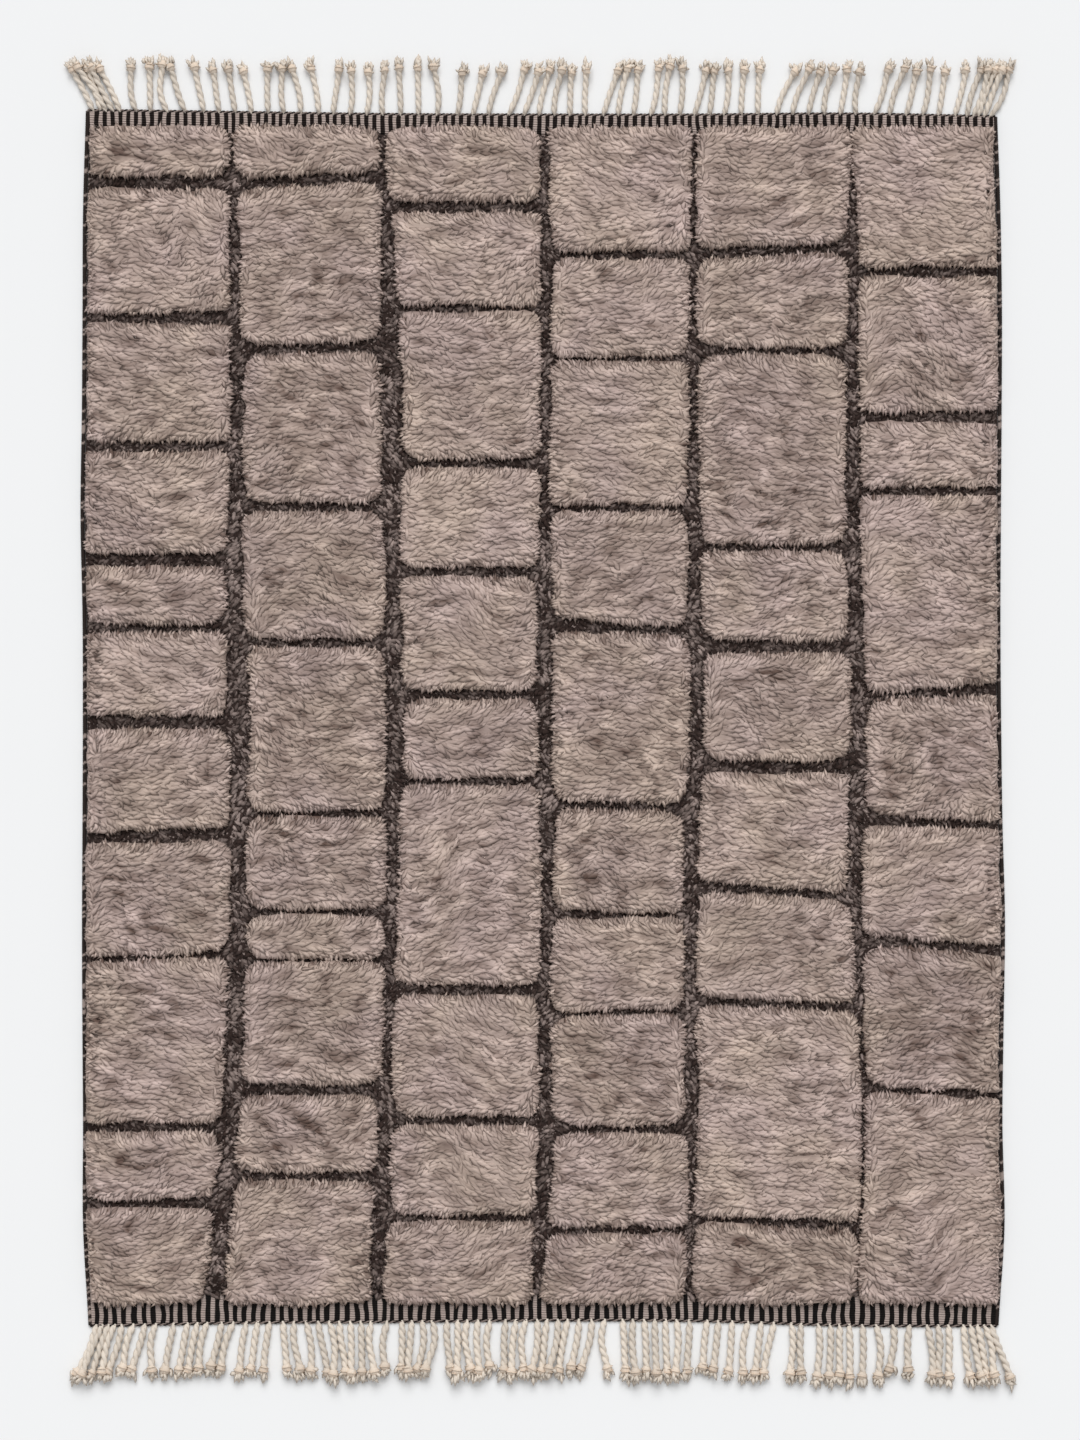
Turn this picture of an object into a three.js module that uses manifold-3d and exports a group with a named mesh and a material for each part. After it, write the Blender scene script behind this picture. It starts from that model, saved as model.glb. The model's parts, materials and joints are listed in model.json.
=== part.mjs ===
// Hand-knotted wool rug: pile blocks standing in relief, flat-woven ends and knotted fringes.
// Millimetres, +Z up, +Y along the rug. The origin is on the floor under the middle of the rug.

import * as THREE from 'three';
import { mergeVertices } from 'three/addons/utils/BufferGeometryUtils.js';
import Module from 'manifold-3d';

const wasm = await Module();
wasm.setup();

// The cloth
const HALF_WIDTH = 898;
const EDGE_BULGE = 6; // how much wider the cloth is at its middle than the mean
const CLOTH_SHIFT = 5.5; // the lower fringe is longer, so the cloth lies this far towards +Y
const EDGE_STEPS = 14;
const GAP = 0.5; // between pieces

// The pile field, its low ground and its raised blocks
const GROUND = 8;
const FLARE_HEIGHT = 12;
const SHOULDER_HEIGHT = 21;
const TOP_HEIGHT = 26;
const CROWN_HEIGHT = 27.5;
const FOOT_INSET = 8;
const FOOT_MARGIN = 3; // a block's foot keeps this far inside the ground's edge
const SHOULDER_INSET = 2;
const TOP_INSET = 13;
const CORNER_RADIUS = 15;
const LONGEST_STEP = 130; // between the points of a block's side
const LUMP = 1.2; // unevenness of the pile
const PILE_TOP_END = 1167;
const PILE_BOTTOM_END = -1150;
const PILE_SIDE_INSET = 3; // from the cloth's edge
const FIELD_TOP = 1147; // where the knotted ground ends and the flat weave begins
const FIELD_BOTTOM = -1133;

// The wool locks at the rim, each from a broad root inside the pile out to a narrow drooping tip
const LOCK_PITCH = 62;
const LOCK_ROOT = { width: 26, height: 8, lift: 17, depth: 6 };
const LOCK_TIP = { width: 7, height: 2, lift: 14, reach: 5, stray: 5 };

// The selvedges
const SELVEDGE_WIDTH = 9;
const SELVEDGE_HEIGHT = 7;
const SELVEDGE_SHORTER = 3; // its ends stay this far inside the bands' edges
const SELVEDGE_CORNER = 0.28; // the flat part of each side of its section

// The end bands and their fringes
const BAND_THICKNESS = 5.5;
const BAND_STEPS = 12;
const ROOT_DEPTH = 8; // how far a strand's root runs into its band
const ROOT = { width: 5, low: 0.8, high: 4 };
const CORD = { width: 9, high: 8, starts: 0.12, ends: 0.62 }; // as shares of the strand's reach
const KNOT = { width: 15, high: 12, place: 0.82 };
const TUFT = { width: 11, high: 7 };
const CORD_TOP = 0.64; // a cord's width along its top, as a share of that along the floor
const TIP_SPACE = 1.2; // left between neighbouring knots
const REACH_UNEVEN = 2.5;

// The channels between the columns of blocks, at nine even stations from the top of the pile down.
// Each channel has the place of its middle and its width.
const CHANNELS = [
  { middle: [-611, -604, -600, -605, -597, -597, -604, -618, -644],
    width: [16, 26, 32, 35, 45, 34, 34, 30, 30] },
  { middle: [-315, -302, -297, -294, -291, -295, -302, -311, -326],
    width: [12, 43, 45, 35, 41, 34, 28, 34, 24] },
  { middle: [3, 9, 5, 4, 5, 10, 4, 6, -13],
    width: [20, 28, 28, 30, 35, 34, 34, 41, 32] },
  { middle: [298, 296, 297, 298, 304, 291, 291, 294, 287],
    width: [16, 28, 30, 32, 32, 34, 34, 24, 14] },
  { middle: [607, 610, 609, 612, 622, 614, 625, 630, 618],
    width: [12, 30, 32, 26, 37, 41, 12, 14, 10] },
];

// The grooves across each column, from the top down: the place of the groove's middle along the rug,
// its width, and how much higher its right end lies than its left end.
const GROOVES = [
  { place: [1055, 788, 535, 312, 177, -8, -232, -470, -805, -955],
    width: [24, 20, 22, 26, 16, 24, 20, 9, 16, 12],
    climb: [0, 0, 0, 0, 0, 0, 10, 10, 0, 0] },
  { place: [1059, 728, 416, 148, -188, -381, -477, -732, -902],
    width: [24, 24, 24, 20, 14, 14, 8, 20, 20],
    climb: [12, 6, 0, 0, 0, 0, 0, 0, 0] },
  { place: [1007, 807, 502, 288, 46, -125, -535, -792, -984],
    width: [26, 20, 16, 22, 22, 14, 22, 12, 10],
    climb: [0, 0, 0, 0, 0, 0, 0, 0, 0] },
  { place: [912, 707, 414, 177, -173, -387, -580, -810, -1008],
    width: [20, 14, 20, 20, 18, 14, 12, 18, 16],
    climb: [0, 0, 0, -14, -9, 0, 9, 0, 0] },
  { place: [920, 723, 336, 141, -95, -341, -563, -992],
    width: [24, 20, 22, 26, 26, 16, 10, 14],
    climb: [14, 0, 0, 0, 0, -22, -13, -14] },
  { place: [879, 593, 447, 50, -206, -447, -736],
    width: [26, 28, 24, 20, 16, 28, 14],
    climb: [0, 0, 0, 16, -10, -21, -15] },
];

// The outer edges of the end bands at seven even stations from left to right
const TOP_EDGE = [1198, 1194, 1190, 1189, 1189, 1191, 1186];
const BOTTOM_EDGE = [-1198, -1192, -1190, -1187, -1188, -1197, -1198];

// The fringe strands in the bunches in which they lie, from left to right:
// strands, first root, last root, first tip, last tip, reach past the band's edge
const TOP_FRINGE = [
  [5, -876, -824, -925, -871, 96],
  [1, -793, -793, -810, -810, 102],
  [3, -767, -700, -768, -736, 105],
  [1, -665, -665, -684, -684, 106],
  [3, -635, -572, -653, -590, 96],
  [3, -539, -476, -542, -495, 102],
  [1, -440, -440, -458, -458, 102],
  [4, -412, -314, -403, -312, 100],
  [3, -279, -208, -279, -212, 106],
  [3, -168, -107, -153, -78, 98],
  [6, -68, 84, -28, 84, 100],
  [3, 119, 178, 154, 190, 104],
  [3, 212, 269, 235, 275, 108],
  [3, 298, 357, 324, 365, 98],
  [2, 391, 424, 399, 430, 100],
  [6, 460, 617, 503, 621, 98],
  [5, 651, 777, 690, 791, 102],
  [1, 808, 808, 828, 828, 104],
  [5, 832, 876, 864, 925, 106],
];
const BOTTOM_FRINGE = [
  [5, -876, -826, -925, -856, 108],
  [2, -802, -781, -830, -806, 98],
  [1, -759, -759, -774, -774, 104],
  [1, -724, -724, -741, -741, 102],
  [3, -698, -659, -718, -678, 104],
  [2, -631, -607, -656, -636, 100],
  [2, -582, -560, -600, -580, 106],
  [1, -537, -537, -548, -548, 106],
  [3, -511, -466, -503, -454, 108],
  [6, -442, -336, -424, -336, 114],
  [1, -304, -304, -310, -310, 104],
  [4, -277, -218, -279, -227, 108],
  [4, -188, -127, -184, -127, 110],
  [1, -102, -102, -104, -104, 104],
  [7, -72, 50, -80, 28, 114],
  [2, 72, 97, 54, 74, 106],
  [1, 123, 123, 123, 123, 108],
  [6, 157, 263, 168, 265, 118],
  [1, 289, 289, 288, 288, 118],
  [2, 324, 346, 312, 332, 106],
  [1, 373, 373, 361, 361, 110],
  [3, 405, 456, 393, 432, 116],
  [2, 489, 509, 489, 508, 110],
  [1, 542, 542, 543, 543, 114],
  [3, 566, 603, 566, 602, 114],
  [1, 629, 629, 629, 629, 116],
  [1, 655, 655, 662, 662, 116],
  [2, 688, 720, 685, 714, 102],
  [3, 753, 793, 759, 800, 112],
  [5, 822, 876, 840, 912, 114],
];

// A seeded source of unevenness, from -1 to 1
let seed = 4711;
function uneven() {
  seed = (seed * 1103515245 + 12345) % 2147483648;
  return (seed / 2147483648) * 2 - 1;
}

const mix = THREE.MathUtils.lerp;

// Reads a table of evenly spaced stations as one smooth line, at from 0 to 1
function readTable(stations, at) {
  const points = stations.map((value, index) => new THREE.Vector2(index, value));
  return new THREE.SplineCurve(points).getPoint(THREE.MathUtils.clamp(at, 0, 1)).y;
}

function edgeAt(y) {
  return HALF_WIDTH + EDGE_BULGE * (1 - 2 * (y / TOP_EDGE[0]) ** 2);
}

function bandEdgeAt(stations, x) {
  return readTable(stations, (x + HALF_WIDTH) / (2 * HALF_WIDTH));
}

// Turns a list of triangles, each of three points, into one indexed geometry
function geometryOf(triangles) {
  const geometry = new THREE.BufferGeometry().setFromPoints(triangles.flat());
  const merged = mergeVertices(geometry, 1e-4);
  merged.computeVertexNormals();
  return merged;
}

// The triangles between rings of points that run anticlockwise as seen from the far end of the row
function skin(rings) {
  const triangles = [];
  for (let row = 0; row + 1 < rings.length; row += 1) {
    const near = rings[row];
    const far = rings[row + 1];
    for (let i = 0; i < near.length; i += 1) {
      const j = (i + 1) % near.length;
      triangles.push([near[i], near[j], far[j]], [near[i], far[j], far[i]]);
    }
  }
  return triangles;
}

// The triangles from a ring to one point, facing the way the ring turns anticlockwise
function fan(ring, point) {
  return ring.map((corner, i) => [corner, ring[(i + 1) % ring.length], point]);
}

function middleOf(ring) {
  const sum = new THREE.Vector3();
  ring.forEach((point) => sum.add(point));
  return sum.divideScalar(ring.length);
}

// A closed solid through rings, with flat ends
function loft(rings) {
  const first = [...rings[0]].reverse();
  const last = rings[rings.length - 1];
  return geometryOf([...skin(rings), ...fan(first, middleOf(first)), ...fan(last, middleOf(last))]);
}

function solidOf(geometry) {
  const bare = geometry.clone();
  bare.deleteAttribute('normal');
  bare.deleteAttribute('uv');
  const merged = mergeVertices(bare, 1e-4);
  return new wasm.Manifold(new wasm.Mesh({
    numProp: 3,
    vertProperties: new Float32Array(merged.attributes.position.array),
    triVerts: new Uint32Array(merged.index.array),
  }));
}

function join(geometries) {
  const joined = geometries.map(solidOf).reduce((whole, piece) => whole.add(piece));
  const mesh = joined.getMesh();
  const geometry = new THREE.BufferGeometry();
  geometry.setAttribute('position', new THREE.BufferAttribute(new Float32Array(mesh.vertProperties), 3));
  geometry.setIndex(new THREE.BufferAttribute(new Uint32Array(mesh.triVerts), 1));
  geometry.computeVertexNormals();
  return geometry;
}

// The pile blocks

// The sides of the block in one column, between the groove above it and the groove below it
function blockAt(column, row) {
  const grooves = GROOVES[column];
  const down = (y) => (PILE_TOP_END - y) / (PILE_TOP_END - PILE_BOTTOM_END);
  const channelSide = (channel, side) => (y) => readTable(channel.middle, down(y))
    + (side * readTable(channel.width, down(y))) / 2;
  const grooveSide = (index, side) => (across) => grooves.place[index]
    + grooves.climb[index] * (across - 0.5) + (side * grooves.width[index]) / 2;
  const isFirst = column === 0;
  const isLast = column === GROOVES.length - 1;
  return {
    left: isFirst ? (y) => PILE_SIDE_INSET - edgeAt(y) : channelSide(CHANNELS[column - 1], 1),
    right: isLast ? (y) => edgeAt(y) - PILE_SIDE_INSET : channelSide(CHANNELS[column], -1),
    top: row === 0 ? () => PILE_TOP_END : grooveSide(row - 1, -1),
    bottom: row === grooves.place.length ? () => PILE_BOTTOM_END : grooveSide(row, 1),
    rim: { left: isFirst, right: isLast, top: row === 0, bottom: row === grooves.place.length },
  };
}

// The block's outline as fractions across and up, anticlockwise from its lower left corner
function outlineOf(block) {
  const middleY = (block.top(0.5) + block.bottom(0.5)) / 2;
  const width = block.right(middleY) - block.left(middleY);
  const length = block.top(0.5) - block.bottom(0.5);
  const across = CORNER_RADIUS / width;
  const up = CORNER_RADIUS / length;
  const stepsAcross = Math.ceil(width / LONGEST_STEP);
  const stepsUp = Math.ceil(length / LONGEST_STEP);
  const outline = [];
  for (let i = 0; i <= stepsAcross; i += 1) outline.push([mix(across, 1 - across, i / stepsAcross), 0]);
  for (let i = 0; i <= stepsUp; i += 1) outline.push([1, mix(up, 1 - up, i / stepsUp)]);
  for (let i = 0; i <= stepsAcross; i += 1) outline.push([mix(1 - across, across, i / stepsAcross), 1]);
  for (let i = 0; i <= stepsUp; i += 1) outline.push([0, mix(1 - up, up, i / stepsUp)]);
  return outline;
}

// One ring of a block: its outline drawn in by the inset, at a height
function blockRing(block, outline, inset, height, lump) {
  return outline.map(([across, up]) => {
    const y = mix(block.bottom(across) + inset, block.top(across) - inset, up);
    const x = mix(block.left(y) + inset, block.right(y) - inset, across);
    return new THREE.Vector3(x + uneven() * lump, y + uneven() * lump, height + uneven() * lump);
  });
}

// A block's foot stays on the ground slab where the pile above laps past it
function keepOnGround(ring) {
  ring.forEach((point) => {
    const margin = FOOT_MARGIN + uneven();
    const side = groundEdgeAt(point.y) - margin;
    point.x = THREE.MathUtils.clamp(point.x, -side, side);
    point.y = THREE.MathUtils.clamp(point.y, FIELD_BOTTOM + margin, FIELD_TOP - margin);
    point.z = GROUND;
  });
  return ring;
}

function groundEdgeAt(y) {
  return edgeAt(y) - SELVEDGE_WIDTH - GAP;
}

// A block's foot ring and the triangles of its pile above it
function pileBlock(block) {
  const outline = outlineOf(block);
  const foot = keepOnGround(blockRing(block, outline, FOOT_INSET, GROUND, LUMP));
  const flare = blockRing(block, outline, 0, FLARE_HEIGHT, LUMP);
  const shoulder = blockRing(block, outline, SHOULDER_INSET, SHOULDER_HEIGHT, LUMP);
  const top = blockRing(block, outline, TOP_INSET, TOP_HEIGHT, LUMP);
  const crown = middleOf(top);
  crown.z = CROWN_HEIGHT + uneven() * LUMP;
  return { foot, triangles: [...skin([foot, flare, shoulder, top]), ...fan(top, crown)] };
}

// The outline of the knotted ground, anticlockwise from its lower left corner
function groundOutline() {
  const right = [];
  for (let i = 0; i <= EDGE_STEPS; i += 1) {
    const y = mix(FIELD_BOTTOM, FIELD_TOP, i / EDGE_STEPS);
    right.push(new THREE.Vector2(groundEdgeAt(y), y));
  }
  const left = right.map((point) => new THREE.Vector2(-point.x, point.y)).reverse();
  return [...right, ...left];
}

function lift(points, height) {
  return points.map((point) => new THREE.Vector3(point.x, point.y, height));
}

// The triangles of a flat face, read from three.js's own triangulation
function flatFace(shape, height) {
  const face = new THREE.ShapeGeometry(shape).toNonIndexed().attributes.position;
  const corner = (index) => new THREE.Vector3(face.getX(index), face.getY(index), height);
  const triangles = [];
  for (let i = 0; i < face.count; i += 3) triangles.push([corner(i), corner(i + 1), corner(i + 2)]);
  return triangles;
}

// A lock of wool at the rim: a four-sided wedge from inside the pile out to a point
function rimLock(x, y, outward) {
  const across = new THREE.Vector3(-outward.y, outward.x, 0);
  const up = new THREE.Vector3(0, 0, 1);
  const root = new THREE.Vector3(x, y, LOCK_ROOT.lift).addScaledVector(outward, -LOCK_ROOT.depth);
  const tip = new THREE.Vector3(x, y, LOCK_TIP.lift).addScaledVector(outward, LOCK_TIP.reach);
  tip.addScaledVector(across, uneven() * LOCK_TIP.stray).addScaledVector(up, uneven() * LUMP);
  const ring = (centre, size) => [[-1, -1], [1, -1], [1, 1], [-1, 1]].map(
    ([side, rise]) => centre.clone().addScaledVector(across, (side * size.width) / 2)
      .addScaledVector(up, (rise * size.height) / 2));
  return loft([ring(root, LOCK_ROOT), ring(tip, LOCK_TIP)]);
}

// Locks along the sides of a block that lie on the rug's rim
function rimLocks(block) {
  const locks = [];
  const places = (length) => {
    const count = Math.max(1, Math.round(length / LOCK_PITCH));
    return Array.from({ length: count }, (_, i) => (i + 0.5) / count);
  };
  const middleY = (block.top(0.5) + block.bottom(0.5)) / 2;
  const width = block.right(middleY) - block.left(middleY);
  const length = block.top(0.5) - block.bottom(0.5);
  const isOnEnd = { top: 1, bottom: -1 };
  const isOnSide = { right: 1, left: -1 };
  for (const [side, sign] of Object.entries(isOnSide)) {
    if (block.rim[side]) {
      for (const up of places(length)) {
        const y = mix(block.bottom(0.5), block.top(0.5), up);
        locks.push(rimLock(block[side](y), y, new THREE.Vector3(sign, 0, 0)));
      }
    }
  }
  for (const [side, sign] of Object.entries(isOnEnd)) {
    if (block.rim[side]) {
      for (const across of places(width)) {
        const y = block[side](across);
        const x = mix(block.left(y), block.right(y), across);
        locks.push(rimLock(x, y, new THREE.Vector3(0, sign, 0)));
      }
    }
  }
  return locks;
}

function pileField() {
  const outline = groundOutline();
  const ground = new THREE.Shape(outline);
  const walls = skin([lift(outline, 0), lift(outline, GROUND)]);
  const underside = flatFace(ground, 0).map(([a, b, c]) => [a, c, b]);
  const topFace = new THREE.Shape(outline);
  const piles = [];
  const locks = [];
  for (let column = 0; column < GROOVES.length; column += 1) {
    for (let row = 0; row <= GROOVES[column].place.length; row += 1) {
      const block = blockAt(column, row);
      const { foot, triangles } = pileBlock(block);
      topFace.holes.push(new THREE.Path(foot.map((point) => new THREE.Vector2(point.x, point.y))));
      piles.push(...triangles);
      locks.push(...rimLocks(block));
    }
  }
  const slab = geometryOf([...walls, ...underside, ...flatFace(topFace, GROUND), ...piles]);
  return join([slab, ...locks]);
}

// The selvedges

function selvedge(side) {
  const half = SELVEDGE_WIDTH / 2;
  const flat = SELVEDGE_CORNER;
  const section = [[-1, -flat], [-flat, -1], [flat, -1], [1, -flat],
    [1, flat], [flat, 1], [-flat, 1], [-1, flat]];
  const low = bandEdgeAt(BOTTOM_EDGE, side * HALF_WIDTH) + SELVEDGE_SHORTER;
  const high = bandEdgeAt(TOP_EDGE, side * HALF_WIDTH) - SELVEDGE_SHORTER;
  const rings = [];
  for (let i = 0; i <= EDGE_STEPS; i += 1) {
    const y = mix(low, high, i / EDGE_STEPS);
    const x = side * (edgeAt(y) - half);
    rings.push(section.map(([out, up]) => new THREE.Vector3(
      x - out * half, y, ((up + 1) * SELVEDGE_HEIGHT) / 2)));
  }
  return loft(rings);
}

// The end bands and fringes

function endBand(inner, stations) {
  const outer = [];
  for (let i = 0; i <= BAND_STEPS; i += 1) {
    const side = mix(-1, 1, i / BAND_STEPS);
    const reach = bandEdgeAt(stations, side * HALF_WIDTH);
    outer.push(new THREE.Vector2(side * groundEdgeAt(reach), reach));
  }
  const inside = [1, -1].map((side) => new THREE.Vector2(side * groundEdgeAt(inner), inner));
  const shape = new THREE.Shape([...outer, ...inside]);
  return new THREE.ExtrudeGeometry(shape, { depth: BAND_THICKNESS, bevelEnabled: false });
}

// One fringe strand: a cord from inside the band, resting on the floor, then its knot and its tuft
function strand(rootX, tipX, edgeY, outward, reach, knotWidth) {
  const slim = knotWidth / KNOT.width;
  const along = [
    // share of the reach, width, lowest, highest
    [-ROOT_DEPTH / reach, ROOT.width, ROOT.low, ROOT.high],
    [CORD.starts, CORD.width, 0, CORD.high],
    [CORD.ends, CORD.width, 0, CORD.high],
    [KNOT.place, knotWidth, 0, KNOT.high],
    [1, TUFT.width * slim, 0, TUFT.high],
  ];
  const rings = along.map(([share, width, low, high]) => {
    const x = mix(rootX, tipX, Math.max(0, share));
    const y = edgeY + outward * reach * share;
    const ring = [
      new THREE.Vector3(x - width / 2, y, low),
      new THREE.Vector3(x + width / 2, y, low),
      new THREE.Vector3(x + (width * CORD_TOP) / 2, y, high),
      new THREE.Vector3(x - (width * CORD_TOP) / 2, y, high),
    ];
    return outward > 0 ? ring.reverse() : ring;
  });
  return loft(rings);
}

function fringedBand(inner, stations, fringe, outward) {
  const strands = [];
  for (const [count, rootStart, rootEnd, tipStart, tipEnd, reach] of fringe) {
    for (let i = 0; i < count; i += 1) {
      const share = count === 1 ? 0 : i / (count - 1);
      const rootX = mix(rootStart, rootEnd, share);
      const tipX = mix(tipStart, tipEnd, share);
      const pitch = count === 1 ? Infinity : (tipEnd - tipStart) / (count - 1);
      const knotWidth = Math.min(KNOT.width, pitch - TIP_SPACE);
      const edgeY = bandEdgeAt(stations, rootX);
      const length = reach + uneven() * REACH_UNEVEN;
      strands.push(strand(rootX, tipX, edgeY, outward, length, knotWidth));
    }
  }
  return join([endBand(inner, stations), ...strands]);
}

const WOOL = { colour: 0x9a8a82, roughness: 0.95 };
const DARK_WOOL = { colour: 0x2a1c17, roughness: 0.9 };
const KILIM = { colour: 0x6b605a, roughness: 0.9 };

const rug = new THREE.Group();

function addPiece(name, geometry, finish) {
  const material = new THREE.MeshStandardMaterial({
    color: finish.colour, roughness: finish.roughness, metalness: 0, flatShading: true,
  });
  const mesh = new THREE.Mesh(geometry, material);
  mesh.name = name;
  mesh.position.y = CLOTH_SHIFT;
  rug.add(mesh);
}

addPiece('pile_field', pileField(), WOOL);
addPiece('end_band_top', fringedBand(FIELD_TOP + GAP, TOP_EDGE, TOP_FRINGE, 1), KILIM);
addPiece('end_band_bottom', fringedBand(FIELD_BOTTOM - GAP, BOTTOM_EDGE, BOTTOM_FRINGE, -1), KILIM);
addPiece('selvedge_left', selvedge(-1), DARK_WOOL);
addPiece('selvedge_right', selvedge(1), DARK_WOOL);

export default rug;
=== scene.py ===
"""Dresses a hand-knotted wool rug: its combed pile, marled ground, striped ends, selvedges and fringes.

The tables are in millimetres, and everything made from them is in metres, +Z up and +Y along the rug.
"""

import json
import math

import bmesh
import bpy
import numpy as np
from bmesh.types import BMEdge, BMFace, BMVert
from bpy.props import FloatProperty, FloatVectorProperty, PointerProperty
from bpy.types import NodeSocket, Operator, Panel, PropertyGroup
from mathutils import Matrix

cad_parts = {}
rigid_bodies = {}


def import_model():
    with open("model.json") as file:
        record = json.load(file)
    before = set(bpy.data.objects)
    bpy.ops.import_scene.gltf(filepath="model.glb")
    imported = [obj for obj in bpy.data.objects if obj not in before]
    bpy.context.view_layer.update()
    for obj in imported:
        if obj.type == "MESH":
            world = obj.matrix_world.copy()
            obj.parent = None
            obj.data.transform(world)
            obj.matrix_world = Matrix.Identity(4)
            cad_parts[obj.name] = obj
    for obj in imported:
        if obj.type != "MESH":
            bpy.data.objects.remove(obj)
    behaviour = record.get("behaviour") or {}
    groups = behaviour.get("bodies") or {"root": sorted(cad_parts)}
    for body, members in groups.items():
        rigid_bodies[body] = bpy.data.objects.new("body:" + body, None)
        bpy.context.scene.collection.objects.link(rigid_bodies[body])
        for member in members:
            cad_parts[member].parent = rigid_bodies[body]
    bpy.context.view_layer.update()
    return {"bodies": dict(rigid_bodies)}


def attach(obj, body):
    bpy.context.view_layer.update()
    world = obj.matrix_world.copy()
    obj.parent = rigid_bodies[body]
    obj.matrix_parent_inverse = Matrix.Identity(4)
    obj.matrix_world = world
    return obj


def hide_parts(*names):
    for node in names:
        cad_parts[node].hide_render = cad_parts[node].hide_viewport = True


bl_info = {
    "name": "Relief Pile Rug",
    "version": (1, 0, 0),
    "blender": (4, 5, 0),
    "location": "View3D > Sidebar > Rug",
    "description": "Dresses a hand-knotted wool rug with relief pile, striped ends and knotted fringes",
    "category": "Object",
}

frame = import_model()
BODY = next(iter(frame["bodies"]))
MM = 0.001
TURN = 2 * math.pi

# The cloth, as its solids have it, apart from the top end of the pile, which stands 6 mm further in
HALF_WIDTH = 898 * MM
EDGE_BULGE = 6 * MM
CLOTH_SHIFT = 5.5 * MM
HALF_LENGTH = 1198 * MM
PIECE_GAP = 0.5 * MM
FIELD_TOP = 1147 * MM
FIELD_BOTTOM = -1133 * MM
PILE_TOP_END = 1161 * MM
PILE_BOTTOM_END = -1150 * MM
SELVEDGE_WIDTH = 9 * MM
SELVEDGE_HEIGHT = 7 * MM
SELVEDGE_SHORTER = 3 * MM

# The channels between the columns of blocks, at nine even stations from the top of the pile down:
# the place of each channel's middle, and its width. These widths, and those of the grooves, are set so
# that the dark lines between the shaggy blocks come out as wide as they measure in the photo.
CHANNELS = (
    {"middle": (-611, -604, -600, -605, -597, -597, -604, -618, -644),
     "width": (11, 22, 26, 33, 47, 29, 35, 37, 36)},
    {"middle": (-315, -302, -297, -294, -291, -295, -302, -311, -326),
     "width": (9, 32, 48, 31, 38, 26, 18, 31, 30)},
    {"middle": (3, 9, 5, 4, 5, 10, 4, 6, -13),
     "width": (15, 22, 20, 28, 33, 28, 24, 29, 20)},
    {"middle": (298, 296, 297, 298, 304, 291, 291, 294, 287),
     "width": (8, 14, 22, 29, 26, 31, 28, 20, 12)},
    {"middle": (607, 610, 609, 612, 622, 614, 625, 630, 618),
     "width": (4, 21, 31, 27, 32, 34, 13, 8, 2)},
)

# The grooves across each column, from the top down: the place of each groove's middle along the rug,
# its width, and how much higher its right end lies than its left end
GROOVES = (
    {"place": (1055, 788, 535, 312, 177, -8, -232, -470, -805, -955),
     "width": (27, 20, 22, 26, 17, 26, 23, 14, 18, 17),
     "climb": (0, 0, 0, 0, 0, 0, 10, 10, 0, 0)},
    {"place": (1059, 728, 416, 148, -188, -381, -477, -732, -902),
     "width": (21, 22, 19, 18, 14, 12, 5, 23, 18),
     "climb": (12, 6, 0, 0, 0, 0, 0, 0, 0)},
    {"place": (1007, 807, 502, 288, 46, -125, -535, -792, -984),
     "width": (21, 15, 19, 18, 20, 11, 19, 18, 12),
     "climb": (0, 0, 0, 0, 0, 0, 0, 0, 0)},
    {"place": (912, 707, 414, 177, -173, -387, -580, -810, -1008),
     "width": (16, 7, 11, 23, 19, 11, 10, 15, 13),
     "climb": (0, 0, 0, -14, -9, 0, 9, 0, 0)},
    {"place": (920, 723, 336, 141, -95, -341, -563, -992),
     "width": (23, 16, 14, 26, 26, 19, 15, 20),
     "climb": (14, 0, 0, 0, 0, -22, -13, -14)},
    {"place": (879, 593, 447, 50, -206, -447, -736),
     "width": (17, 23, 16, 22, 18, 18, 14),
     "climb": (0, 0, 0, 16, -10, -21, -15)},
)

# How much closer together the grooves lie than a view from above the pile's top shows them
NEARER = 0.998

# The outer edges of the end bands at seven even stations from left to right
TOP_EDGE = (1198, 1194, 1190, 1189, 1189, 1191, 1186)
BOTTOM_EDGE = (-1198, -1192, -1190, -1187, -1188, -1197, -1198)

# How far the pile stays inside the cloth's left and right edges, at the top and at the bottom
RIM_INSETS = {"left": (12, 8.5), "right": (9.5, 7.5)}

# How far the cloth's left and right edges wander outward, measured in the photo at thirteen even stations
# from the top down, and the distances from its middle between which the cloth gives way to that
LEFT_WANDER = (7, 9, 7, 6, 7, 2, 1, 2, 4, 5, 6, 9, 2)
RIGHT_WANDER = (3, 6, 6, 3, 0, -2, -1, 2, 8, 7, 7, 14, 6)
GIVE = (620 * MM, 860 * MM)

# The fringe strands in the bunches in which they lie, from left to right:
# strands, first root, last root, first tip, last tip, reach past the band's edge
TOP_FRINGE = (
    (5, -876, -824, -925, -871, 96),
    (1, -793, -793, -810, -810, 102),
    (3, -767, -700, -768, -736, 105),
    (1, -665, -665, -684, -684, 106),
    (3, -635, -572, -653, -590, 96),
    (3, -539, -476, -542, -495, 102),
    (1, -440, -440, -458, -458, 102),
    (4, -412, -314, -403, -312, 100),
    (3, -279, -208, -279, -212, 106),
    (3, -168, -107, -153, -78, 98),
    (6, -68, 84, -28, 84, 100),
    (3, 119, 178, 154, 190, 104),
    (3, 212, 269, 235, 275, 108),
    (3, 298, 357, 324, 365, 98),
    (2, 391, 424, 399, 430, 100),
    (6, 460, 617, 503, 621, 98),
    (5, 651, 777, 690, 791, 102),
    (1, 808, 808, 828, 828, 104),
    (5, 832, 876, 864, 925, 106),
)
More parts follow.
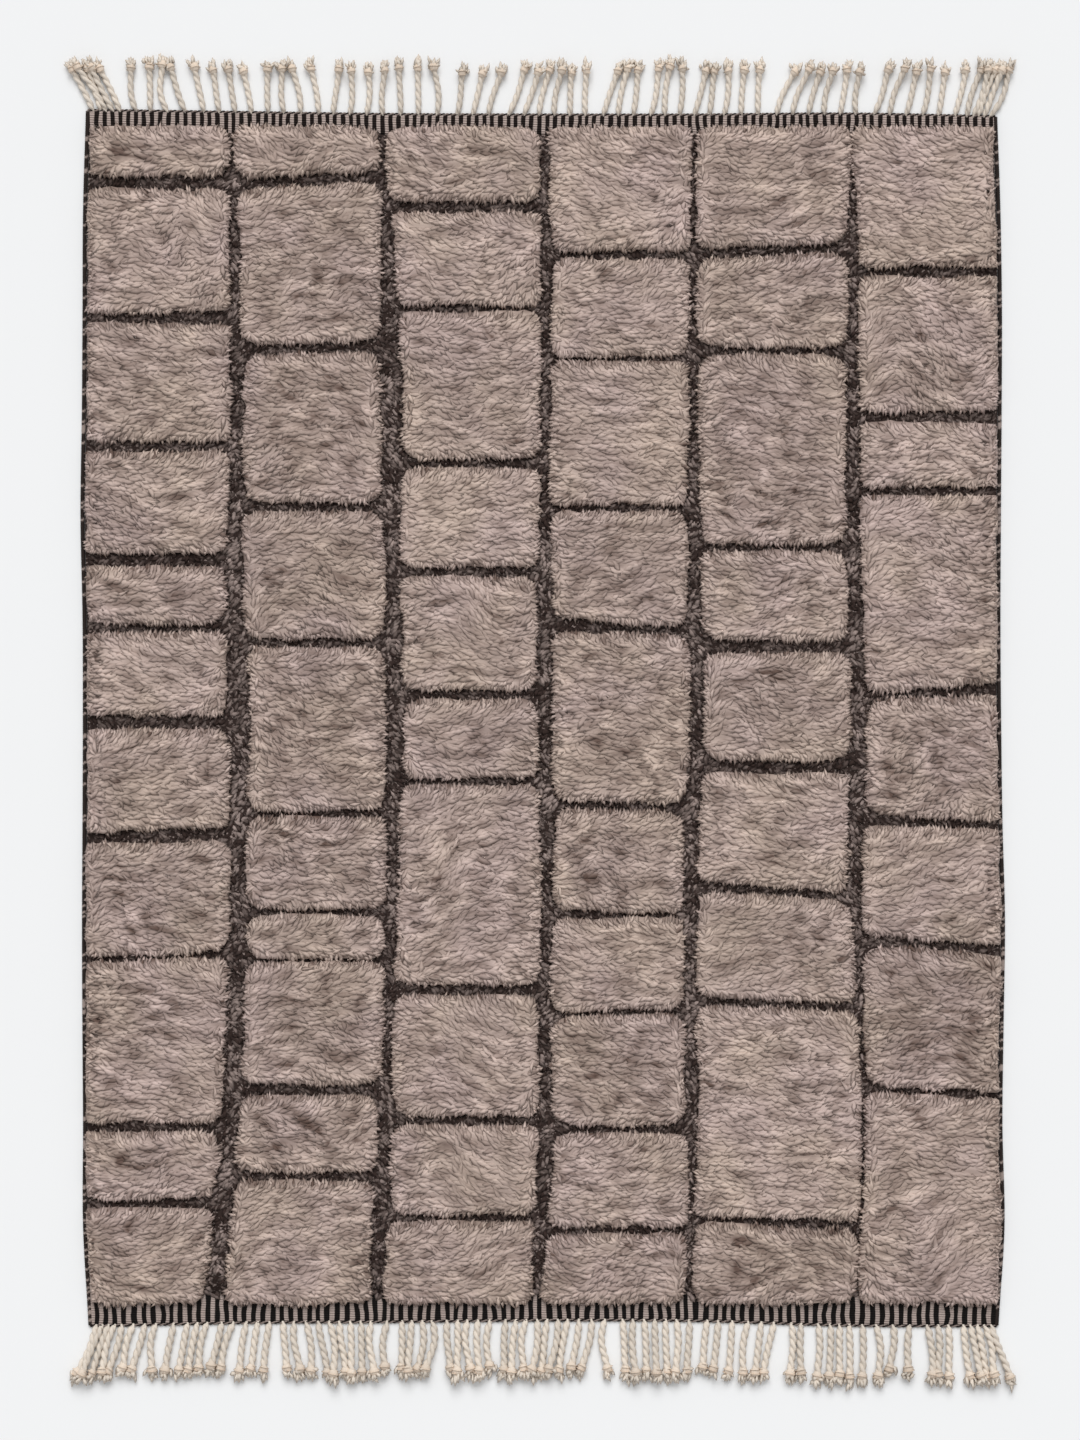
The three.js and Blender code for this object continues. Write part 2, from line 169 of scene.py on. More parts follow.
BOTTOM_FRINGE = (
    (5, -876, -826, -925, -856, 108),
    (2, -802, -781, -830, -806, 98),
    (1, -759, -759, -774, -774, 104),
    (1, -724, -724, -741, -741, 102),
    (3, -698, -659, -718, -678, 104),
    (2, -631, -607, -656, -636, 100),
    (2, -582, -560, -600, -580, 106),
    (1, -537, -537, -548, -548, 106),
    (3, -511, -466, -503, -454, 108),
    (6, -442, -336, -424, -336, 114),
    (1, -304, -304, -310, -310, 104),
    (4, -277, -218, -279, -227, 108),
    (4, -188, -127, -184, -127, 110),
    (1, -102, -102, -104, -104, 104),
    (7, -72, 50, -80, 28, 114),
    (2, 72, 97, 54, 74, 106),
    (1, 123, 123, 123, 123, 108),
    (6, 157, 263, 168, 265, 118),
    (1, 289, 289, 288, 288, 118),
    (2, 324, 346, 312, 332, 106),
    (1, 373, 373, 361, 361, 110),
    (3, 405, 456, 393, 432, 116),
    (2, 489, 509, 489, 508, 110),
    (1, 542, 542, 543, 543, 114),
    (3, 566, 603, 566, 602, 114),
    (1, 629, 629, 629, 629, 116),
    (1, 655, 655, 662, 662, 116),
    (2, 688, 720, 685, 714, 102),
    (3, 753, 793, 759, 800, 112),
    (5, 822, 876, 840, 912, 114),
)

# The height of a block's wool at insets from its outline, and how much its colour is painted lighter or
# darker at
# others: painted light at the outline and on the shoulders, painted shade just inside it and over the middle
PROFILE = {"inset": (-4, 0, 2, 5, 10, 18, 32),
           "height": (6, 11, 15, 18.5, 21.5, 23.5, 24.5)}
RIM_PAINTED_LIGHT_AND_SHADE = {"inset": (0, 4, 8, 13, 20, 30, 42),
            "tone": (0.3, -0.04, -0.12, 0.08, 0.17, 0.06, -0.2)}

# How much painted shade darkens the wool on a block's upper side and painted light brightens its lower side,
# how much painted light makes it paler from the rug's middle to its top end and darker towards its bottom
# end, and how much paler it is from block to block
SIDE_PAINTED_LIGHT_AND_SHADE = 0.35
TOP_END_PAINTED_LIGHT = 0.08
TONES = (0.11, 0.26)

# Smooth unevenness over the cloth: how much of it, how far apart its hills are, and its seed
COMB_ALONG = (50 * MM, 150 * MM, 31)
COMB_ACROSS = (46 * MM, 150 * MM, 32)
COMB_WAVE = (13 * MM, 52 * MM, 33)
LUMP = (1.6 * MM, 45 * MM, 35)
VIGOUR = (0.6, 85 * MM, 37)
SPILL_DRIFT = (2 * MM, 60 * MM, 38)
TUFT_LEAN = (1, 45 * MM, 41)
TUFT_MOTTLE = (0.55, 14 * MM, 42)
TUFT_DRIFT = (0.3, 30 * MM, 43)
OUTLINE_WAVES = ((3 * MM, 95 * MM, 23), (4.5 * MM, 38 * MM, 21), (3.4 * MM, 12 * MM, 22))

# The partings between the strokes of the combed wool: how far apart they are, how much longer than
# wide, how strong and their seed; and how high the wool's lumps and crests stand near an outline
RIPPLES = ((18 * MM, 2.2, 0.75, 34), (11 * MM, 2.4, 0.45, 39))
RIPPLE_HEIGHT = 2.4 * MM
RIPPLE_FADE = 12 * MM
LUMP_FADE = 30 * MM
LATTICE = (64, 64)
BILLOW_GAIN = 1.7

# The outlines of the blocks, which are calmer by the rug's own sides
CORNER_RADII = (24 * MM, 40 * MM)
RIM_CORNER_RADIUS = 6 * MM
RIM = 30 * MM
GROWTH = 4 * MM
CALM = (0.7, 4 * MM, 35 * MM)
EDGE_REACH = 9 * MM

# The wool of a block, down to its foot and its back
FLEECE_CELL = (11 * MM, 5.5 * MM)
FLEECE_EDGES = (0, 2.5 * MM, 6.5 * MM)
FLEECE_INSET = 3 * MM
FLEECE_SINK = 2.2 * MM
FOOT_INSET = 6 * MM
FOOT_HEIGHT = 6.5 * MM
BACK_MARGIN = 1 * MM

# Where the locks are rooted: in staggered rows, and closer together in a strip inside the outline,
# from where they gather towards the crests
ROW_SPACING = 0.87
SCATTER = 0.38
ROOT_INSET = 0.5 * MM
EDGE_SPACING = 10.4 * MM
EDGE_STRIP = {"inset": 6 * MM, "half": 5 * MM}
GATHER = 1.8 * MM
GATHER_SLOPE = 10 * MM

# The ways in which the wool of a block is combed, and how near to its left, right, lower and upper
# sides the locks turn outward
COMBING_SHIFTS = (0, 3)
COMBING_SWINGS = (0.4, 1.1)
TURN_OUT = (15 * MM, 15 * MM, 11 * MM, 20 * MM)
OUTWARD_PULL = 1.3
HEADING_SPREAD = 0.26
OWN_STROKES = {"wide": 2.6, "long": 1.8, "held": 0.6}

# How the locks differ from their usual size, at random and where they are turned outward
LOCK_LENGTHS = (0.75, 1.15)
LOCK_WIDTHS = (0.75, 1.2)
LOCK_LIFTS = (0.5, 1.5)
LOCK_CURL = 5 * MM
CREST_LIFT = 0.4
CUT_WIDTH = 0.7
TURNED_LENGTH = 0.72
TURNED_WIDTH = 0.55
TURNED_LIFT = 2.2
TURNED_TINT = 0.33
COMBED_TINT = 0.05
MOST_TINT = 1.2

# How far the locks may spill over their block's outline before they are cut shorter
SPILLS = (2 * MM, 6 * MM)
STRAY_SPILL = 7 * MM
STRAY_SHARE = 0.14
RIM_SPILL = -1.5 * MM
TAIL_SPILL = -3 * MM
SHORTER = 0.86
CUTS = 13

# The shape of a lock over the wool under it
LOCK_SUNK = 1.2 * MM
LOCK_BEHIND = 0.4
LOCK_FLATNESS = 0.22
LOCK_ARCH = 0.72 * math.pi
EDGE_LIFT = 1.6 * MM
SEED_STEP = 0.037

# The knotted ground and its short tufts
GROUND_SHOWN = 5 * MM
GROUND_MARGIN = 2 * MM
GROUND_CELL = 60 * MM
GROUND_LIFT = 0.4 * MM
TUFT_TOP = 7 * MM
TUFT_ROOT = 1 * MM
TUFT_SLANT = 0.8
TUFT_SPREAD = 0.35
TUFT_RISES = (0.1, 0.4)
TUFT_LENGTHS = (0.7, 1.25)
TUFT_WIDTHS = (0.8, 1.2)
TUFT_DROOP = 0.2
TUFT_CURL = 2 * MM
TUFT_THICKNESS = 0.75
TUFT_TINT = 0.44
TUFT_TINTS = (-0.12, 0.12)
# How much painted shade darkens the tufts in the grooves between the blocks of a column
GROOVE_PAINTED_SHADE = 0.55

# The woven ends, whose ribs are lower by the edge, and the cord twined along the edge
RIB_CELLS = 4
RIB_DRIFT = (0.16, 70 * MM)
RIB_WAVER = (0.15, 24 * MM)
RIB_ROUNDNESS = 0.5
RIB_SUNK = 0.3
RIB_AT_EDGE = (0.4, 1, 0.82)
BAND_ROWS = 6
BAND_REACH = 6 * MM
BAND_INSET = 1.5 * MM
BAND_VALLEY = 4.5 * MM
BAND_LIFT = 0.3 * MM
EDGING = {"reach": 5 * MM, "inset": 2 * MM, "height": 3.6 * MM, "radius": 1.9 * MM, "offset": 1.3 * MM}
EDGING_STEPS = 6
EDGING_TINTS = (0.02, 0.6)
WEFT_ROW = 4.6 * MM

# The overcast side edges, with one pale turn among so many
PALE_TURNS = {"left": 6, "right": 4}
SELVEDGE_WRAP = 4.2 * MM
SELVEDGE_SLANT = 0.16
SELVEDGE_SWELL = 0.1
SELVEDGE_FULL = 0.9
SELVEDGE_TINTS = (0.75, 0.03)

# The fringe cords: measures in metres, and places on a cord as shares of its length
STRAND_ROOT = 5 * MM
STRAND_HEIGHT = 3.2 * MM
STRAND_SWAY = 2.6 * MM
STRAND_BENDS = 0.8
STRAND_OVER = 6 * MM
OVER_FROM = 0.3
CROWDED = 3
REACH_UNEVEN = 4 * MM
CORD_RISE = (0, 0.15)
ROOT_THIN = (0.45, *CORD_RISE)
ROOT_CLOSE = (0.4, *CORD_RISE)
KNOT_START = 0.82
KNOT_MIDDLE = 0.83
KNOT_APPROACH = (0.6, KNOT_START)
KNOT_HALF = 8 * MM
WRAP_LENGTH = 40 * MM

# How far along its wear each part of a cord starts and ends
WEAR = {"ply": (0, 0.8), "knot": (0.8, 1), "wrap": (0.9, 1)}

# Shares of the radius of a ply or of a knot
CORD_REST = 1.58
PLY_OFFSET = 0.53
KNOT_SINK = 0.82
KNOT_SIZES = (0.92, 1.08)
WRAP_RADIUS = 0.9
WRAP_SHARE = 0.6
WRAP_WINDS = 1.35

# The loose hairs past a knot, and how much shorter they are the further they stray
HAIRS = 14
HAIR_ROOT = 0.4
HAIR_SCATTER = 0.8
HAIR_STRAY = 0.55
HAIR_RISES = (0, 0.35)
HAIR_LENGTHS = (0.75, 1.2)
HAIR_WIDTHS = (1.4, 2.3)
HAIR_SHORTER = {"share": 0.4, "stray": 1.2}
HAIR_FLOOR = {"lying": 3.5 * MM, "rooted": 5 * MM}

# The seeds of the random draws. That of the tones is the one of 4000 whose lighter and darker blocks come
# nearest to the photo's.
TONE_SEED = 692
PILE_SEED = 100
GROUND_SEED = 200
SELVEDGE_SEED = 60
FRINGE_SEED = 70
RIB_SEEDS = {"top": 51, "bottom": 52}

# The photograph's view of the rug, from straight above, and the floor under it
FRAME_HEIGHT = 2.835
CAMERA_HEIGHT = 7.875
CAMERA_PLACE = (-4.9 * MM, 1.6 * MM)
SENSOR = 36.0
CLIP_END = 100
FLOOR_SIZE = 12
FLOOR_DROP = 0.3 * MM


# Properties


def length_of(name, description, millimetres):
    return FloatProperty(name=name, description=description, default=millimetres * MM, min=0.0001,
                         unit="LENGTH")


def angle_of(name, description, degrees):
    return FloatProperty(name=name, description=description, default=math.radians(degrees),
                         subtype="ANGLE")


def amount_of(name, description, default, least=0):
    return FloatProperty(name=name, description=description, default=default, min=least)


def colour_of(name, description, *screen):
    """A colour that is given as a screen shows it, from 0 to 255, and kept linear, as the shaders use it."""
    shares = (value / 255 for value in screen)
    linear = tuple(s / 12.92 if s <= 0.04045 else ((s + 0.055) / 1.055) ** 2.4 for s in shares)
    return FloatVectorProperty(
        name=name, description=description, default=linear, size=3, min=0, max=1, subtype="COLOR")


class PileSettings(PropertyGroup):
    spacing: length_of("Lock Spacing", "Distance between the locks of the pile", 11.4)
    length: length_of("Lock Length", "Length of a lock of wool", 32)
    width: length_of("Lock Width", "Width of a lock across its middle", 14.5)
    lift: length_of("Lock Lift", "How far a lock arches over the wool under it", 1)
    tip: colour_of("Tip", "Colour of the wool at the tips of the locks", 205, 184, 177)
    warm_tip: colour_of("Warm Tip", "Colour of the tips in the warmer patches", 205, 185, 172)
    # The root colour is painted shade: the pile blends towards it in the partings, in the dips between
    # strokes and towards the locks' roots; on the back it colours the lines between the knots
    root: colour_of("Root", "Colour of the wool down between the locks", 100, 81, 73)


class GroundSettings(PropertyGroup):
    spacing: length_of("Tuft Spacing", "Distance between the short tufts of the ground", 9.2)
    length: length_of("Tuft Length", "Length of a short tuft", 18)
    width: length_of("Tuft Width", "Width of a short tuft at its root", 13)
    dark: colour_of("Dark Wool", "Colour of the dark wool of the ground", 51, 38, 34)
    fleck: colour_of("Flecks", "Colour of the paler tufts among the dark ones", 152, 136, 130)


class EndSettings(PropertyGroup):
    top_pitch: length_of("Top Stripe Pitch", "Width of a dark and a pale rib at the top", 15.5)
    bottom_pitch: length_of("Bottom Stripe Pitch", "Width of a dark and a pale rib at the bottom", 18.1)
    rib_height: length_of("Rib Height", "How far a rib stands above the valley beside it", 1.6)
    dark: colour_of("Dark Rib", "Colour of the dark yarn", 24, 15, 12)
    pale: colour_of("Pale Rib", "Colour of the pale yarn", 172, 156, 149)


class FringeSettings(PropertyGroup):
    top_ply: length_of("Top Ply Radius", "Radius of the two plies of a cord at the top", 4.2)
    bottom_ply: length_of("Bottom Ply Radius", "Radius of the two plies of a cord at the bottom", 5)
    twist: length_of("Twist", "Length of one turn of the plies", 34)
    knot: amount_of("Knot Size", "Radius of a knot's core in ply radii", 1.9, 1)
    yarn: colour_of("Yarn", "Colour of the fringe yarn", 226, 215, 202)
    end: colour_of("Worn End", "Colour of the yarn in the knots and the tufts", 226, 207, 188)


class StageSettings(PropertyGroup):
    floor: colour_of("Floor", "Colour of the floor", 240, 241, 242)
    sun: amount_of("Key Light", "Strength of the soft light", 2.1)
    sun_slope: angle_of("Key Slope", "Height of the soft light above the floor", 48)
    sun_spread: angle_of("Key Spread", "How wide the soft light is seen from the rug", 40)
    sky: amount_of("Sky", "Strength of the light from all round", 0.52)


class RugSettings(PropertyGroup):
    pile: PointerProperty(name="Pile", description="The raised blocks", type=PileSettings)
    ground: PointerProperty(name="Ground", description="The low ground", type=GroundSettings)
    ends: PointerProperty(name="Ends", description="The woven ends and selvedges", type=EndSettings)
    fringe: PointerProperty(name="Fringe", description="The knotted cords", type=FringeSettings)
    stage: PointerProperty(name="Stage", description="The floor and the light", type=StageSettings)


# Readings over the cloth


def ease(value, start, end):
    """Rises smoothly from 0 at a start to 1 at an end."""
    t = np.clip((value - start) / (end - start), 0, 1)
    return t * t * (3 - 2 * t)


def grown(value, least, start, end):
    """Rises smoothly from its least at a start to 1 at an end."""
    return least + (1 - least) * ease(value, start, end)


def smooth_line(stations, at):
    """Reads a table of evenly spaced stations, in millimetres, as one smooth line in metres."""
    values = np.asarray(stations, float) * MM
    last = len(values) - 1
    place = np.clip(np.asarray(at, float), 0, 1) * last
    start = np.minimum(place.astype(int), last - 1)
    t = place - start
    before, here = values[np.maximum(start - 1, 0)], values[start]
    there, after = values[start + 1], values[np.minimum(start + 2, last)]
    leave, arrive = (there - before) / 2, (after - here) / 2
    cubic = 2 * (here - there) + leave + arrive
    square = 3 * (there - here) - 2 * leave - arrive
    return ((cubic * t + square) * t + leave) * t + here


def edge_at(y):
    """Half the cloth's width at a place along it."""
    return HALF_WIDTH + EDGE_BULGE * (1 - 2 * (y / HALF_LENGTH) ** 2)


def ground_edge_at(y):
    return edge_at(y) - SELVEDGE_WIDTH - PIECE_GAP


def band_edge_at(stations, x):
    return smooth_line(stations, (x + HALF_WIDTH) / (2 * HALF_WIDTH))


def rim_inset(side, y):
    """How far the pile stays inside the cloth's edge at a place along it."""
    top, bottom = RIM_INSETS[side]
    return np.interp(y, (PILE_BOTTOM_END, PILE_TOP_END), (bottom, top)) * MM


def wandered(points):
    """Moves points near the cloth's sides outward by as much as its edges wander there."""
    x, y = points[:, 0], points[:, 1]
    down = (HALF_LENGTH - y) / (2 * HALF_LENGTH)
    out = np.where(x < 0, smooth_line(LEFT_WANDER, down), smooth_line(RIGHT_WANDER, down))
    moved = points.copy()
    moved[:, 0] += np.sign(x) * out * ease(np.abs(x), *GIVE)
    return moved


def over_lattice(x, y, cell, values, reading=lambda value, s, t: value):
    """Blends the readings at the corners of the lattice cells in which points lie.

    A reading is made from the corner's value and from how far the point lies across and up from it.
    """
    across, up = np.asarray(x, float) / cell, np.asarray(y, float) / cell
    column, row = np.floor(across).astype(int), np.floor(up).astype(int)
    s, t = across - column, up - row
    size = len(values)

    def corner(right, high):
        return reading(values[(column + right) % size, (row + high) % size], s - right, t - high)

    s_share, t_share = ease(s, 0, 1), ease(t, 0, 1)
    lower = corner(0, 0) * (1 - s_share) + corner(1, 0) * s_share
    upper = corner(0, 1) * (1 - s_share) + corner(1, 1) * s_share
    return lower * (1 - t_share) + upper * t_share


def drift(x, y, amount, cell, seed):
    """Smooth unevenness up to an amount over the cloth, with hills about one cell apart."""
    values = np.random.default_rng(seed).uniform(-1, 1, LATTICE)
    return amount * over_lattice(x, y, cell, values)


def billows(x, y, cell, seed):
    """Like drift, from about -1 to 1, but its hills and dips balance, with no broad patches."""
    facings = np.random.default_rng(seed).uniform(0, TURN, LATTICE)
    return BILLOW_GAIN * over_lattice(
        x, y, cell, facings, lambda angle, s, t: np.cos(angle) * s + np.sin(angle) * t)


def combed(x, y, swing):
    """Two readings of the combed wool: its strokes run where the second stays the same."""
    return (x + drift(x, y, *COMB_ALONG),
            y + swing * (drift(x, y, *COMB_ACROSS) + drift(x, y, *COMB_WAVE)))


def vigour(x, y):
    """How strongly the strokes stand out, from place to place."""
    return 1 + drift(x, y, *VIGOUR)


def slopes(reading, x, y, step=2 * MM):
    """How fast a reading changes along X and along Y."""
    return ((reading(x + step, y) - reading(x - step, y)) / (2 * step),
            (reading(x, y + step) - reading(x, y - step)) / (2 * step))


def scattered(low, high, spacing, rng):
    """Points in staggered rows over a rectangle, each a little out of its place."""
    x, y = np.meshgrid(np.arange(low[0], high[0], spacing),
                       np.arange(low[1], high[1], spacing * ROW_SPACING))
    x[1::2] += spacing / 2
    for values in (x, y):
        values += rng.uniform(-SCATTER, SCATTER, values.shape) * spacing
    return x.ravel(), y.ravel()


class Block:
    """One raised block of pile, between channels or rims at its sides and grooves at its ends."""

    def __init__(self, column, row):
        self.column, self.row = column, row
        self.grooves = GROOVES[column]
        self.is_first, self.is_last = row == 0, row == len(self.grooves["place"])
        rng = np.random.default_rng((column, row))
        self.shift = rng.uniform(*COMBING_SHIFTS, 2)
        self.sense = rng.choice((-1, 1))
        self.swing = rng.uniform(*COMBING_SWINGS)
        self.corner = rng.uniform(*CORNER_RADII)
        self.tone = np.random.default_rng((TONE_SEED, column, row)).uniform(*TONES)

    def channel_side(self, index, sign, y):
        down = (PILE_TOP_END - y) / (PILE_TOP_END - PILE_BOTTOM_END)
        channel = CHANNELS[index]
        return smooth_line(channel["middle"], down) + sign * smooth_line(channel["width"], down) / 2

    def groove_side(self, index, sign, across):
        place, width, climb = (self.grooves[key][index] * MM for key in ("place", "width", "climb"))
        return NEARER * place + climb * (across - 0.5) + sign * width / 2

    def left(self, y):
        if self.column > 0:
            return self.channel_side(self.column - 1, 1, y)
        return rim_inset("left", y) - edge_at(y)

    def right(self, y):
        if self.column < len(CHANNELS):
            return self.channel_side(self.column, -1, y)
        return edge_at(y) - rim_inset("right", y)

    def top(self, across):
        return PILE_TOP_END + 0 * across if self.is_first else self.groove_side(self.row - 1, -1, across)

    def bottom(self, across):
        return PILE_BOTTOM_END + 0 * across if self.is_last else self.groove_side(self.row, 1, across)

    def is_rim(self, x):
        """Whether points lie by the rug's own left or right edge."""
        side = {0: -1, len(CHANNELS): 1}.get(self.column, 0)
        return side * x > HALF_WIDTH - RIM

    def box(self):
        """The lowest and highest corners of the block's rectangle."""
        ends = np.array([0.0, 1.0])
        low, high = self.bottom(ends).min(), self.top(ends).max()
        y = np.linspace(low, high, 9)
        return (self.left(y).min(), low), (self.right(y).max(), high)

    def sides(self, x, y):
        """How far points lie inside the block's left, right, lower and upper sides."""
        left, right = self.left(y), self.right(y)
        across = (x - left) / (right - left)
        return np.stack([x - left, right - x, y - self.bottom(across), self.top(across) - y])

    def depth(self, x, y):
        """How far points lie inside the block's outline, with its rounded corners and wavy sides."""
        sides = self.sides(x, y)
        side, end = np.minimum(sides[0], sides[1]), np.minimum(sides[2], sides[3])
        radius = np.where(self.is_rim(x), RIM_CORNER_RADIUS, self.corner)
        corner = radius - np.hypot(np.maximum(radius - side, 0), np.maximum(radius - end, 0))
        wave = GROWTH + sum(drift(x, y, *each) for each in OUTLINE_WAVES)
        return np.minimum(np.minimum(side, end), corner) + grown(edge_at(y) - np.abs(x), *CALM) * wave

    def outward(self, x, y, reach=EDGE_REACH):
        """The way out of the block at points, which fades to nothing away from its sides."""
        sides = np.maximum(self.sides(x, y), 0)
        pull = np.exp(-sides / np.broadcast_to(reach, 4).reshape(4, *[1] * (sides.ndim - 1)))
        return pull[1] - pull[0], pull[3] - pull[2]

    def combed(self, x, y):
        return combed(x + self.shift[0], y + self.shift[1], self.swing)

    def combed_place(self, x, y):
        """Where points lie across and along the strokes of the block's wool."""
        along, across = self.combed(x, y)
        return np.stack([across, along, 0 * along], -1)

    def crest(self, x, y):
        """From about -1 in the partings of the combed wool to 1 on its crests."""
        along, across = self.combed(x, y)
        return sum(share * billows(along / stretch, across, cell, seed)
                   for cell, stretch, share, seed in RIPPLES)

    def level(self, x, y):
        """The height of the block's wool: steep at its sides, and rounding to its middle."""
        depth = self.depth(x, y)
        height = np.interp(depth / MM, PROFILE["inset"], PROFILE["height"]) * MM
        lump = drift(x, y, *LUMP) * ease(depth, 0, LUMP_FADE)
        return height + lump + RIPPLE_HEIGHT * vigour(x, y) * self.crest(x, y) * ease(depth, 0, RIPPLE_FADE)

    def painted_light_and_shade(self, x, y):
        """Painted light at the block's outline and on its shoulders, painted shade just inside the outline
        and over its middle, painted shade on its upper side and painted light on its lower side outside the
        top row, and painted light towards the rug's top end.
        """
        # Painted shade on the block's upper side and painted light on its lower side, but not in the top row
        side_light_and_shade = 0 if self.is_first else SIDE_PAINTED_LIGHT_AND_SHADE * self.outward(x, y)[1]
        tone = np.interp(self.depth(x, y) / MM, RIM_PAINTED_LIGHT_AND_SHADE["inset"], RIM_PAINTED_LIGHT_AND_SHADE["tone"])
        # Painted light: paler towards the rug's top end, darker towards its bottom end
        return tone - side_light_and_shade + TOP_END_PAINTED_LIGHT * y / HALF_LENGTH


BLOCKS = [[Block(column, row) for row in range(len(grooves["place"]) + 1)]
          for column, grooves in enumerate(GROOVES)]


# Shapes


def among(made, kind):
    """The vertices, edges or faces among what an operator made."""
    return [item for item in made["geom"] if isinstance(item, kind)]


def moved(bm, verts, *vec):
    bmesh.ops.translate(bm, verts=verts, vec=vec)


def arrays_of(bm):
    """The points of a bmesh and its triangles in a fixed order; the bmesh is then let go."""
    bmesh.ops.recalc_face_normals(bm, faces=bm.faces[:])
    bmesh.ops.triangulate(bm, faces=bm.faces[:])
    bm.verts.index_update()
    points = np.array([vert.co[:] for vert in bm.verts])
    triangles = np.array([[vert.index for vert in face.verts] for face in bm.faces])
    from_lowest = (triangles.argmin(axis=1)[:, None] + np.arange(3)) % 3
    triangles = np.take_along_axis(triangles, from_lowest, axis=1)
    triangles = triangles[np.lexsort(triangles.T)]
    is_closed = all(edge.is_manifold for edge in bm.edges)
    bm.free()
    if not is_closed:
        raise RuntimeError("a shape that is repeated over the rug isn't closed")
    return points, triangles


def round_shape(sides, stations):
    """A closed round shape along Z through stations of place and radius; a last radius of 0 is a point."""
    bm = bmesh.new()
    (start, radius), *others = stations
    bmesh.ops.create_circle(bm, cap_ends=True, segments=sides, radius=radius)
    moved(bm, bm.verts[:], 0, 0, start)
    end = bm.faces[:]
    inner = []
    for place, wanted in others:
        made = bmesh.ops.extrude_face_region(bm, geom=end)
        bmesh.ops.delete(bm, geom=inner, context="FACES_ONLY")
        end = inner = among(made, BMFace)
        ring = among(made, BMVert)
        moved(bm, ring, 0, 0, place - start)
        if wanted:
            bmesh.ops.scale(bm, verts=ring, vec=(wanted / radius, wanted / radius, 1))
        else:
            bmesh.ops.pointmerge(bm, verts=ring, merge_co=(0, 0, place))
        start, radius = place, wanted
    return arrays_of(bm)


def tube_shape(sides, steps):
    """A closed tube of radius 1 along Z from 0 to 1, in even steps."""
    bm = bmesh.new()
    bmesh.ops.create_cone(bm, cap_ends=True, segments=sides, radius1=1, radius2=1, depth=1)
    moved(bm, bm.verts[:], 0, 0, 0.5)
    long = [edge for edge in bm.edges if abs(edge.verts[0].co.z - edge.verts[1].co.z) > 0.5]
    bmesh.ops.subdivide_edges(bm, edges=long, cuts=steps - 1, use_grid_fill=True)
    return arrays_of(bm)


def unit_grid(across, up, height):
    """A grid of even cells from 0 to 1 across and up."""
    bm = bmesh.new()
    bmesh.ops.create_grid(bm, x_segments=across, y_segments=up, size=0.5)
    moved(bm, bm.verts[:], 0.5, 0.5, height)
    return bm


def slab_shape(across, up):
    """A slab from 0 to 1 each way, in even cells."""
    bm = unit_grid(across, up, 0)
    made = bmesh.ops.extrude_face_region(bm, geom=bm.faces[:])
    moved(bm, among(made, BMVert), 0, 0, 1)
    return arrays_of(bm)


def block_shape(across, up):
    """A block's top as a grid at 3, with a foot at 2, a rim on the floor at 1 and a closing point at 0."""
    bm = unit_grid(across, up, 3)
    rim = [edge for edge in bm.edges if edge.is_boundary]
    for _ in range(3):
        made = bmesh.ops.extrude_edge_only(bm, edges=rim)
        rim, ring = among(made, BMEdge), among(made, BMVert)
        moved(bm, ring, 0, 0, -1)
    bmesh.ops.pointmerge(bm, verts=ring, merge_co=(0.5, 0.5, 0))
    return arrays_of(bm)


LOCK = round_shape(3, ((0, 0.36), (0.5, 0.5), (1, 0)))
TIP = round_shape(3, ((0, 0.4), (0.55, 0.5), (1, 0)))
PLY = tube_shape(5, 26)
KNOT = round_shape(8, ((0, 0.55), (0.3, 1), (0.7, 1), (1, 0.6)))
WRAP = tube_shape(5, 14)


def linked(name, data):
    made = bpy.data.objects.new(name, data)
    bpy.context.scene.collection.objects.link(made)
    return made


